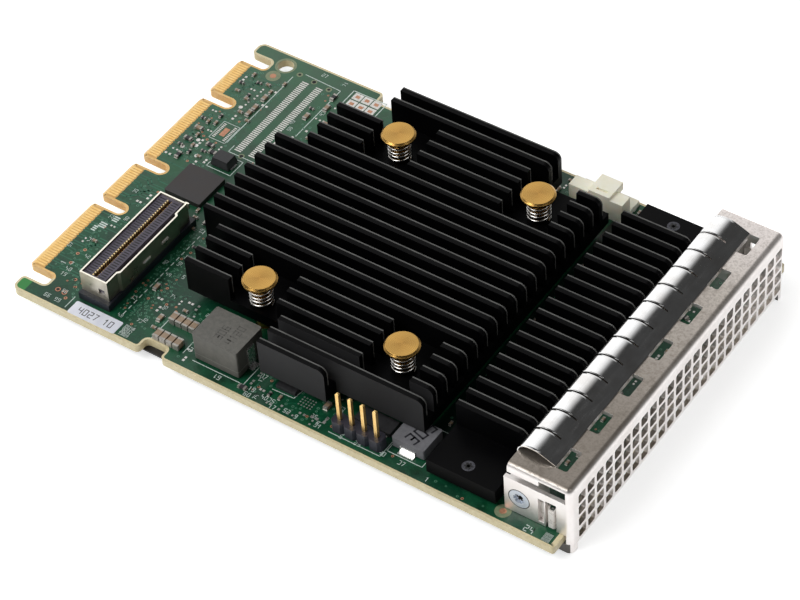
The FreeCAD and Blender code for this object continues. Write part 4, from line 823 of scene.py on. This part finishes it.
# printed numbers: digits, x, y, height and, where it is not 0, the reading direction
NUMBERS = (
    ("66", 7.2, 1.3, 0.8), ("88", 9.5, 1.3, 0.8), ("3", 5.3, 16.2, 0.8), ("1", 5.6, 9.3, 1.0, 90),
    ("18", 6.4, 7.0, 0.8), ("40", 6.4, 8.4, 0.8), ("7", 6.4, 9.8, 0.8), ("5", 25.7, 17.5, 0.8),
    ("2", 37.4, 4.0, 0.9), ("61", 46.0, 2.1, 0.9, 180), ("1", 88.9, 1.0, 0.9),
    ("24", 108.6, 0.75, 1.2), ("4", 84.6, 73.5, 1.7), ("27", 16.2, 74.0, 0.8),
    # near edge
    ("18", 51.6, 2.1, 0.85), ("60", 51.6, 0.7, 0.85), ("07", 51.7, 5.6, 0.85),
    ("4035", 54.6, 1.7, 0.85), ("17", 57.0, 0.6, 0.85), ("52", 59.7, 1.1, 0.85),
    ("8", 62.1, 0.9, 0.85), ("31", 66.1, 1.2, 0.85), ("5", 71.3, 1.3, 0.85),
    ("28", 74.2, 1.4, 0.85), ("90", 79.0, 1.8, 0.85), ("37", 83.0, 1.7, 0.85),
)
for number in NUMBERS:
    write(silk, *number)
for row in range(4):
    write(silk, "73028146"[row:row + 5], 24.3, 0.85 + 0.66 * row, 0.5, 0, SILK_Z, 0.24)
for row in range(3):
    write(silk, "8888", 112.2, 0.6 + 0.62 * row, 0.46, 0, SILK_Z, 0.24)

# printed lines: width, then the points they pass
LINES = (
    (0.14, (12.3, 1.0), (12.3, 3.9)),
    (0.14, (30.0, 3.1), (30.0, 9.4)),
    (0.14, (36.9, 3.1), (36.9, 9.4)),
    (0.15, (39.4, 2.6), (50.3, 2.6), (50.3, 7.2)),
    (0.15, (55.2, 4.4), (59.6, 4.6), (59.9, 6.8)),
    (0.15, (71.0, 2.35), (72.0, 2.35)),
    (0.15, (75.9, 2.8), (76.9, 2.8)),
    (0.14, (69.0, 1.5), (79.6, 1.5), (79.6, 10.0)),
    (0.16, (13.45, 72.8), (21.7, 72.4), (21.7, 58.0)),
    (0.16, (11.7, 50.0), (11.7, 71.0)),
    (0.16, (19.4, 48.2), (13.4, 48.2), (13.4, 50.0)),
    (0.16, (12.1, 44.3), (12.1, 43.1), (17.5, 43.1), (17.5, 47.2), (12.1, 47.2)),
)
for width, *points in LINES:
    silk.line(points, width, SILK_Z)
for i in range(16):
    y = 5.1 + i * 1.55
    silk.line([(22.2, y), (22.2, y + 0.8)], 0.16, SILK_Z)
for x, y, wide in ((5.3, 20.8, 1.5), (6.5, 23.2, 1.2), (4.5, 19.4, 0.9)):
    for i in (-1, 0, 1):
        silk.box(x, y + i * 0.5, 0.0, wide, 0.3, 0.02)
silk.frame(79.9, 3.2, 87.0, 11.8, 0.14)
silk.frame(23.9, 69.5, 31.3, 73.8, 0.2)
silk.frame(7.9, 49.5, 11.5, 54.4, 0.12)

# bare plated holes near the cable connector and along the near edge, and columns of covered ones
BARE_VIAS = {
    0.34: ((6.5, 14.1), (5.95, 12.7), (6.3, 10.2), (9.7, 7.3), (10.8, 5.8), (11.0, 2.8), (10.6, 12.2),
           (11.2, 15.4)),
    0.28: ((70.2, 2.2), (68.8, 2.75), (81.4, 2.7), (52.9, 3.6), (54.0, 5.9), (63.9, 2.4)),
}
for radius, places in BARE_VIAS.items():
    for x, y in places:
        via(x, y, radius, True)
for x in (20.9, 21.5, 23.2, 24.0, 24.8):
    for i in range(24):
        vias.disc(x, 6.0 + i * 0.98, 0.15, RING_Z, 8)

# rings, test points and alignment marks
# the holes' dark centres are painted shade
for x, y in ((8.5, 3.8), (10.0, 3.75)):
    hollows.disc(x, y, 0.62, RING_Z)
    copper.ring(x, y, 0.34, 0.52, SILK_Z)
hole_x, hole_y, hole_radius = 8.75, 72.85, 1.6
openings.ring(hole_x, hole_y, hole_radius + 0.02, hole_radius + 0.5, RING_Z, 40)
for x, y in ((12.45, 72.2), (19.6, 71.6)):
    openings.disc(x, y, 0.62, RING_Z)
    hollows.disc(x, y, 0.3, SILK_Z)
for x, y in ((16.0, 71.9), (16.2, 48.4)):
    openings.ring(x, y, 0.3, 0.62, RING_Z)
    hollows.disc(x, y, 0.4, SILK_Z)
for x, y in ((8.2, 59.1), (7.3, 46.4), (6.7, 47.8), (11.4, 41.6), (12.8, 41.6), (14.0, 41.6), (5.2, 44.9),
             (9.0, 44.2)):
    pads.disc(x, y, 0.42, PAD_Z, 16)
fiducial(103.67, 2.39)
fiducial(8.3, 69.3)

# empty places for chips at the far-left corner, and a grid of dots at the near edge
for x in (14.75, 17.95):
    pad_row(x, 49.3, 44, 0.5, 90, 1.5, 0.27)
for x in (8.5, 10.9):
    pad_row(x, 50.1, 10, 0.42, 90, 0.6, 0.22)
copper.box(9.7, 52.0, 0.0, 1.1, 2.2, 0.03)
for column in range(3):
    for row in range(2):
        x = 25.5 + column * 2.1
        y = 70.6 + row * 2.1
        pads.box(x, y, 0.0, 1.9, 1.8, 0.03)
        copper.box(x, y, 0.0, 0.9, 0.7, 0.05)
for column in range(5):
    for row in range(4):
        pads.disc(61.0 + column * 0.6, 4.0 + row * 0.6, 0.17, PAD_Z, 8)

# parts with a place of their own: small ones, two empty footprints, and a dark box with a row of pads behind
# the pin header
small_part(65.7, 6.0, 1.6, 0.9, 0.7, 90)
for x, y, turn in ((18.0, 32.7, 90), (20.0, 28.5, 0), (18.7, 31.0, 0), (5.4, 52.7, 90), (7.9, 61.4, 0),
                   (10.7, 65.2, 90)):
    small_part(x, y, 1.0, 0.5, 0.4, turn)
footprint(65.2, 2.8, 0, 1.0, 0.55)
footprint(67.2, 3.3, 90, 1.0, 0.55)
layers["dark_parts"].box(75.0, 7.4, 0.0, 7.4, 3.2, 0.9)
for i in range(12):
    pads.box(71.9 + i * 0.56, 5.65, 0.0, 0.26, 0.6, 0.14)

# everything else is spread over the free ground; taken boxes are x low, x high, y low, y high
TAKEN = [(12.6, 18.6, 47.9, 71.9), (7.7, 11.7, 49.3, 54.6), (6.8, 10.2, 67.6, 75.2), (12.7, 20.3, 3.6, 30.2),
         (13.0, 24.0, 0.0, 3.6), (9.4, 18.4, 32.8, 41.8), (12.0, 17.6, 43.0, 47.3), (23.7, 31.5, 69.3, 74.0),
         (30.0, 36.6, 3.0, 9.4), (38.2, 50.2, 2.9, 11.0), (55.2, 60.0, 4.4, 7.6), (60.6, 64.0, 3.6, 6.6),
         (68.6, 79.6, 1.4, 5.0), (79.8, 87.2, 3.0, 12.0), (29.0, 35.0, 0.0, 3.2), (24.1, 29.0, 0.6, 3.6),
         (64.9, 66.5, 5.0, 7.0), (101.8, 105.6, 0.0, 4.4), (28.9, 34.6, 73.0, 76.0)]
TAKEN += [(0.0, 7.4, slot - 1.7, slot + 1.7) for slot in KEY_SLOT_PLACES]
TAKEN += [(0.0, 7.4, 2.9, 6.7), (0.0, 7.4, 69.3, 73.1)]
WIDEST_PART = 30.0
for node_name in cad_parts:
    low, high = span(node_name)
    stands_on_board = low.z < 0.9 and high.z > 0.15
    if stands_on_board and max(high.x - low.x, high.y - low.y) < WIDEST_PART:
        TAKEN.append((low.x - 0.2, high.x + 0.2, low.y - 0.2, high.y + 0.2))
ZONES = (
    # x range, y range, parts, vias, pad pairs, marks
    ((20.6, 26.0), (4.2, 40.0), 5, 110, 6, 10),
    ((4.0, 12.4), (3.4, 33.0), 2, 70, 6, 8),
    ((4.0, 12.2), (42.0, 69.0), 26, 76, 30, 8),
    ((18.9, 26.0), (42.0, 71.0), 10, 40, 14, 5),
    ((24.0, 38.2), (2.0, 14.0), 3, 60, 8, 6),
    ((50.4, 69.4), (1.2, 10.2), 7, 50, 12, 14),
    ((84.7, 88.3), (5.0, 72.0), 16, 40, 14, 0),
    ((104.6, 112.6), (3.8, 72.0), 26, 70, 50, 0),
    ((60.0, 85.0), (71.0, 74.6), 8, 24, 8, 3),
    ((86.0, 103.0), (73.2, 74.6), 6, 16, 6, 2),
    ((20.5, 60.0), (73.9, 74.6), 0, 12, 4, 2),
    ((90.0, 101.4), (0.9, 2.0), 0, 5, 0, 0),
)
TRIES = 30  # places drawn before a part is left out
PART_SIZES = ((1.0, 0.5, 0.4), (1.0, 0.5, 0.35), (1.6, 0.8, 0.5))
PART_KINDS = ("ceramic_parts", "ceramic_parts", "dark_parts")
TRACE_WAYS = ((1.1, 0.0), (0.0, 1.2), (0.8, 0.8), (0.8, -0.8))
TRACE_LOW_X = 8.0  # traces start from vias past this x, and between these y
TRACE_LOW_Y = 2.8
TRACE_HIGH_Y = BOARD_WIDTH - 3.2


def free_spot(x_range, y_range, reach):
    """Seeded place that keeps clear of the boxes taken so far, or None."""
    for _ in range(TRIES):
        x = round(rng.uniform(*x_range), 2)
        y = round(rng.uniform(*y_range), 2)
        if all(x + reach < x0 or x - reach > x1 or y + reach < y0 or y - reach > y1
               for x0, x1, y0, y1 in TAKEN):
            TAKEN.append((x - reach, x + reach, y - reach, y + reach))
            return x, y
    return None


def fill_zone(x_range, y_range, part_count, via_count, pair_count, mark_count):
    """Spreads parts, pad pairs, marks and vias over a zone."""
    for _ in range(part_count):
        spot = free_spot(x_range, y_range, 0.75)
        if spot:
            small_part(*spot, *rng.choice(PART_SIZES), rng.choice((0, 90)), rng.choice(PART_KINDS))
    for _ in range(pair_count):
        spot = free_spot(x_range, y_range, 0.65)
        if spot:
            footprint(*spot, rng.choice((0, 90)), rng.choice((0.7, 0.9)), rng.choice((0.36, 0.46)))
    for _ in range(mark_count):
        spot = free_spot(x_range, y_range, 0.8)
        if spot:
            digits = "%02d" % rng.randrange(10, 99)
            write(silk, digits, spot[0] - 0.5, spot[1] - 0.35, 0.7, rng.choice((0, 90)))
    for _ in range(via_count):
        spot = free_spot(x_range, y_range, 0.28)
        if spot:
            via(*spot, rng.choice((0.2, 0.24, 0.28)), rng.random() < 0.14)
        has_trace = rng.random() < 0.5
        dx, dy = rng.choice(TRACE_WAYS)
        if spot and has_trace and spot[0] > TRACE_LOW_X and TRACE_LOW_Y < spot[1] < TRACE_HIGH_Y:
            x, y = spot
            traces.line([(x, y), (x + dx, y + dy), (x + dx * 2, y + dy * 1.2)], 0.16, TRACE_Z)


for zone in ZONES:
    fill_zone(*zone)

for name, (finish, slot) in LAYERS.items():
    layers[name].build(name, finish, slot)

# ---------------- cable connector
OPENING_REACH = 1.45  # from the slot's middle to a row of openings
CABLE_PITCH = 0.6
housing_top = span("cable_connector_housing")[1].z
cable_low, cable_high = span("cable_connector_contacts")
slot_middle = (cable_low.x + cable_high.x) / 2
# the openings in the housing's top are dark patches of painted shade
ticks = Shapes()
tips = Shapes()
y = cable_low.y + 0.15
while y < cable_high.y:
    for side in (-1, 1):
        ticks.box(slot_middle + side * OPENING_REACH, y, housing_top - 0.005, 1.2, 0.24, 0.015)
    tips.box(slot_middle - 0.5, y, housing_top - 0.32, 0.42, 0.3, 0.3)
    y += CABLE_PITCH
ticks.build("connector_openings", "recess_shade", "connector_plastic")
shell_high = span("cable_connector_shell")[1]
latches = Shapes()
for y, z_low in ((15.65, 2.95), (21.0, 3.35)):
    latches.box(shell_high.x + 0.04, y, z_low, 0.16, 1.7, 0.34)
latches.build("connector_latch_tabs", "bright_edge", "connector_shell")
tips.build("connector_contact_tips", "tips", "contact_gold")

# ---------------- printed numbers on the parts
INK_LIFT = 0.006
label_low, label_high = span("port_label")
label_ink = Shapes()
for digits, along in (("4027", 1.6), ("10", 7.2)):
    write(label_ink, digits, label_low.x + along, label_low.y + 0.8, 1.35, 0, label_high.z + INK_LIFT, 0.12)
label_ink.build("label_number", "ink", "label_paper")

flat_low, flat_high = span("flat_inductor_core")
flat_ink = Shapes()
write(flat_ink, "305", flat_high.x - 2.3, flat_low.y + 0.5, 2.3, 74, flat_high.z + INK_LIFT, 0.15)
flat_ink.build("flat_inductor_number", "ink", "ferrite")

large_low, large_high = span("large_inductor_core")
large_mark = Shapes()
large_z = large_high.z + INK_LIFT
for digits, back in (("4120", 2.0), ("306", 4.4)):
    write(large_mark, digits, large_high.x - back, large_low.y + 1.4, 1.4, 90, large_z, 0.13)
large_mark.build("large_inductor_number", "faint", "ferrite")

# ---------------- painted shade in the screws' drive recesses and round the bracket screws' heads
RECESS_DEPTH = 0.42
RECESS_REACH = 0.72  # half the length of one bar of the star
RECESS_HALF_WIDTH = 0.2
RIM_RADII = (2.1, 1.94)
RIM_SIDES = 36
recesses = Shapes()
for node, facing in (("bracket_screw_near", -1), ("bracket_screw_far", 1)):
    low, high = span(node)
    centre = (low + high) / 2
    face = low.y if facing < 0 else high.y
    depth = face - facing * RECESS_DEPTH
    for turn in (0, 60, 120):
        along = heading(turn)
        across = Vector((-along.y, along.x))
        corners = []
        for u, v in SQUARE:
            spot = along * u * RECESS_REACH + across * v * RECESS_HALF_WIDTH
            corners.append((centre.x + spot.x, depth, centre.z + spot.y))
        recesses.add(corners, [(0, 1, 2, 3) if facing < 0 else (3, 2, 1, 0)])
    rim = []
    for radius in RIM_RADII:
        for u, v in circle(radius, RIM_SIDES):
            rim.append((centre.x + u, face + facing * 0.012, centre.z + v))
    recesses.add(rim, band(RIM_SIDES))
for number in (1, 2):
    low, high = span("front_sink_screw_%d" % number)
    centre = (low + high) / 2
    for turn in (20, 80, 140):
        recesses.box(centre.x, centre.y, high.z - 0.01, 1.5, 0.42, 0.02, turn)
recesses.build("drive_recesses", "recess_shade", "screw_steel")


# ---------------- studio
WHITE = (1.0, 1.0, 1.0, 1.0)


def toward(azimuth, elevation):
    """Unit vector; azimuth is counter-clockwise from +X, both in degrees."""
    flat = math.cos(math.radians(elevation))
    turn = math.radians(azimuth)
    return Vector((flat * math.cos(turn), flat * math.sin(turn), math.sin(math.radians(elevation))))


def softbox(name, azimuth, elevation, distance, width, height, power):
    """Area light aimed at the card."""
    light = bpy.data.lights.new(name, "AREA")
    light.shape = "RECTANGLE"
    light.size = width
    light.size_y = height
    light.energy = power
    lamp = new_object(name, light)
    direction = toward(azimuth, elevation)
    lamp.location = direction * distance
    lamp.rotation_euler = direction.to_track_quat("Z", "Y").to_euler()


FLOOR_HALF = 3.0
FLOOR_GREY = (0.9, 0.9, 0.9, 1.0)
FLOOR_GLOW = 0.62


def studio_floor():
    """Pale floor that reads as white and keeps the card's shadow."""
    mesh = bpy.data.meshes.new("floor")
    corners = [(u * FLOOR_HALF, v * FLOOR_HALF, 0) for u, v in SQUARE]
    mesh.from_pydata(corners, [], [(0, 1, 2, 3)])
    floor = new_object("floor", mesh)
    # it glows for camera, glossy and transmission rays, and not for diffuse and shadow rays
    graph = Graph("pale_floor", Specular_IOR_Level=0.0, Emission_Color=WHITE)
    rays = graph.nodes.new("ShaderNodeLightPath").outputs
    seen = graph.math("MAXIMUM", rays["Is Camera Ray"], rays["Is Glossy Ray"])
    seen = graph.math("MAXIMUM", seen, rays["Is Transmission Ray"])
    graph.put(graph.times(seen, FLOOR_GLOW), graph.bsdf.inputs["Emission Strength"])
    mesh.materials.append(graph.done(FLOOR_GREY, 0.9))


SKY_AZIMUTH = 148  # middle of the bright part of the surroundings
SKY_ELEVATION = 18
SKY_FADE = (0.52, 0.95, 0.05, 1.35)  # from and to the sky's middle, as a cosine; strengths there
HORIZON_FADE = (0.1, 0.42, 0.6, 0.05)


def studio_world():
    """White for the camera; for lighting, bright behind the card's left side and round the horizon."""
    world = bpy.data.worlds.new("studio")
    bpy.context.scene.world = world
    world.use_nodes = True
    nodes = world.node_tree.nodes
    links = world.node_tree.links
    nodes.clear()
    output = nodes.new("ShaderNodeOutputWorld")
    lighting = nodes.new("ShaderNodeBackground")
    seen = nodes.new("ShaderNodeBackground")
    for background in (lighting, seen):
        background.inputs["Color"].default_value = WHITE
    path = nodes.new("ShaderNodeLightPath")
    choose = nodes.new("ShaderNodeMixShader")
    direction = nodes.new("ShaderNodeTexCoord").outputs["Generated"]
    along_sky = nodes.new("ShaderNodeVectorMath")
    along_sky.operation = "DOT_PRODUCT"
    along_sky.inputs[1].default_value = toward(SKY_AZIMUTH, SKY_ELEVATION)
    links.new(direction, along_sky.inputs[0])
    split = nodes.new("ShaderNodeSeparateXYZ")
    links.new(direction, split.inputs[0])
    strongest = nodes.new("ShaderNodeMath")
    strongest.operation = "MAXIMUM"
    sources = ((along_sky.outputs["Value"], SKY_FADE), (split.outputs[2], HORIZON_FADE))
    for (source, limits), strength in zip(sources, strongest.inputs):
        fade = nodes.new("ShaderNodeMapRange")
        fade.interpolation_type = "SMOOTHSTEP"
        for name, number in zip(RANGE_SOCKETS, limits):
            fade.inputs[name].default_value = number
        links.new(source, fade.inputs["Value"])
        links.new(fade.outputs[0], strength)
    links.new(strongest.outputs[0], lighting.inputs["Strength"])
    links.new(path.outputs["Is Camera Ray"], choose.inputs[0])
    links.new(lighting.outputs[0], choose.inputs[1])
    links.new(seen.outputs[0], choose.inputs[2])
    links.new(choose.outputs[0], output.inputs[0])


CAMERA_PLACE = at(298.144, -274.408, 401.956)
CAMERA_AIM = at(61.953, 33.337, 0.0)
CAMERA_ROLL = math.radians(4.389)
CAMERA_LENS = 143.19
CAMERA_SENSOR = 36.0


def studio_camera():
    """Long lens from the card's near side, rolled a little."""
    data = bpy.data.cameras.new("camera")
    data.lens = CAMERA_LENS
    data.sensor_width = CAMERA_SENSOR
    data.clip_start = 0.01
    camera = new_object("camera", data)
    forward = (CAMERA_AIM - CAMERA_PLACE).normalized()
    level = forward.cross(Vector((0, 0, 1))).normalized()
    down = forward.cross(level)
    right = math.cos(CAMERA_ROLL) * level + math.sin(CAMERA_ROLL) * down
    down = -math.sin(CAMERA_ROLL) * level + math.cos(CAMERA_ROLL) * down
    turn = Matrix((right, -down, -forward)).transposed()
    camera.matrix_world = Matrix.Translation(CAMERA_PLACE) @ turn.to_4x4()
    bpy.context.scene.camera = camera


studio_floor()
studio_world()
softbox("key", -125, 52, 0.9, 0.6, 0.5, 5.0)
softbox("side_fill", 10, 55, 0.9, 0.4, 0.4, 0.9)
studio_camera()
bpy.context.scene.view_settings.view_transform = "Standard"
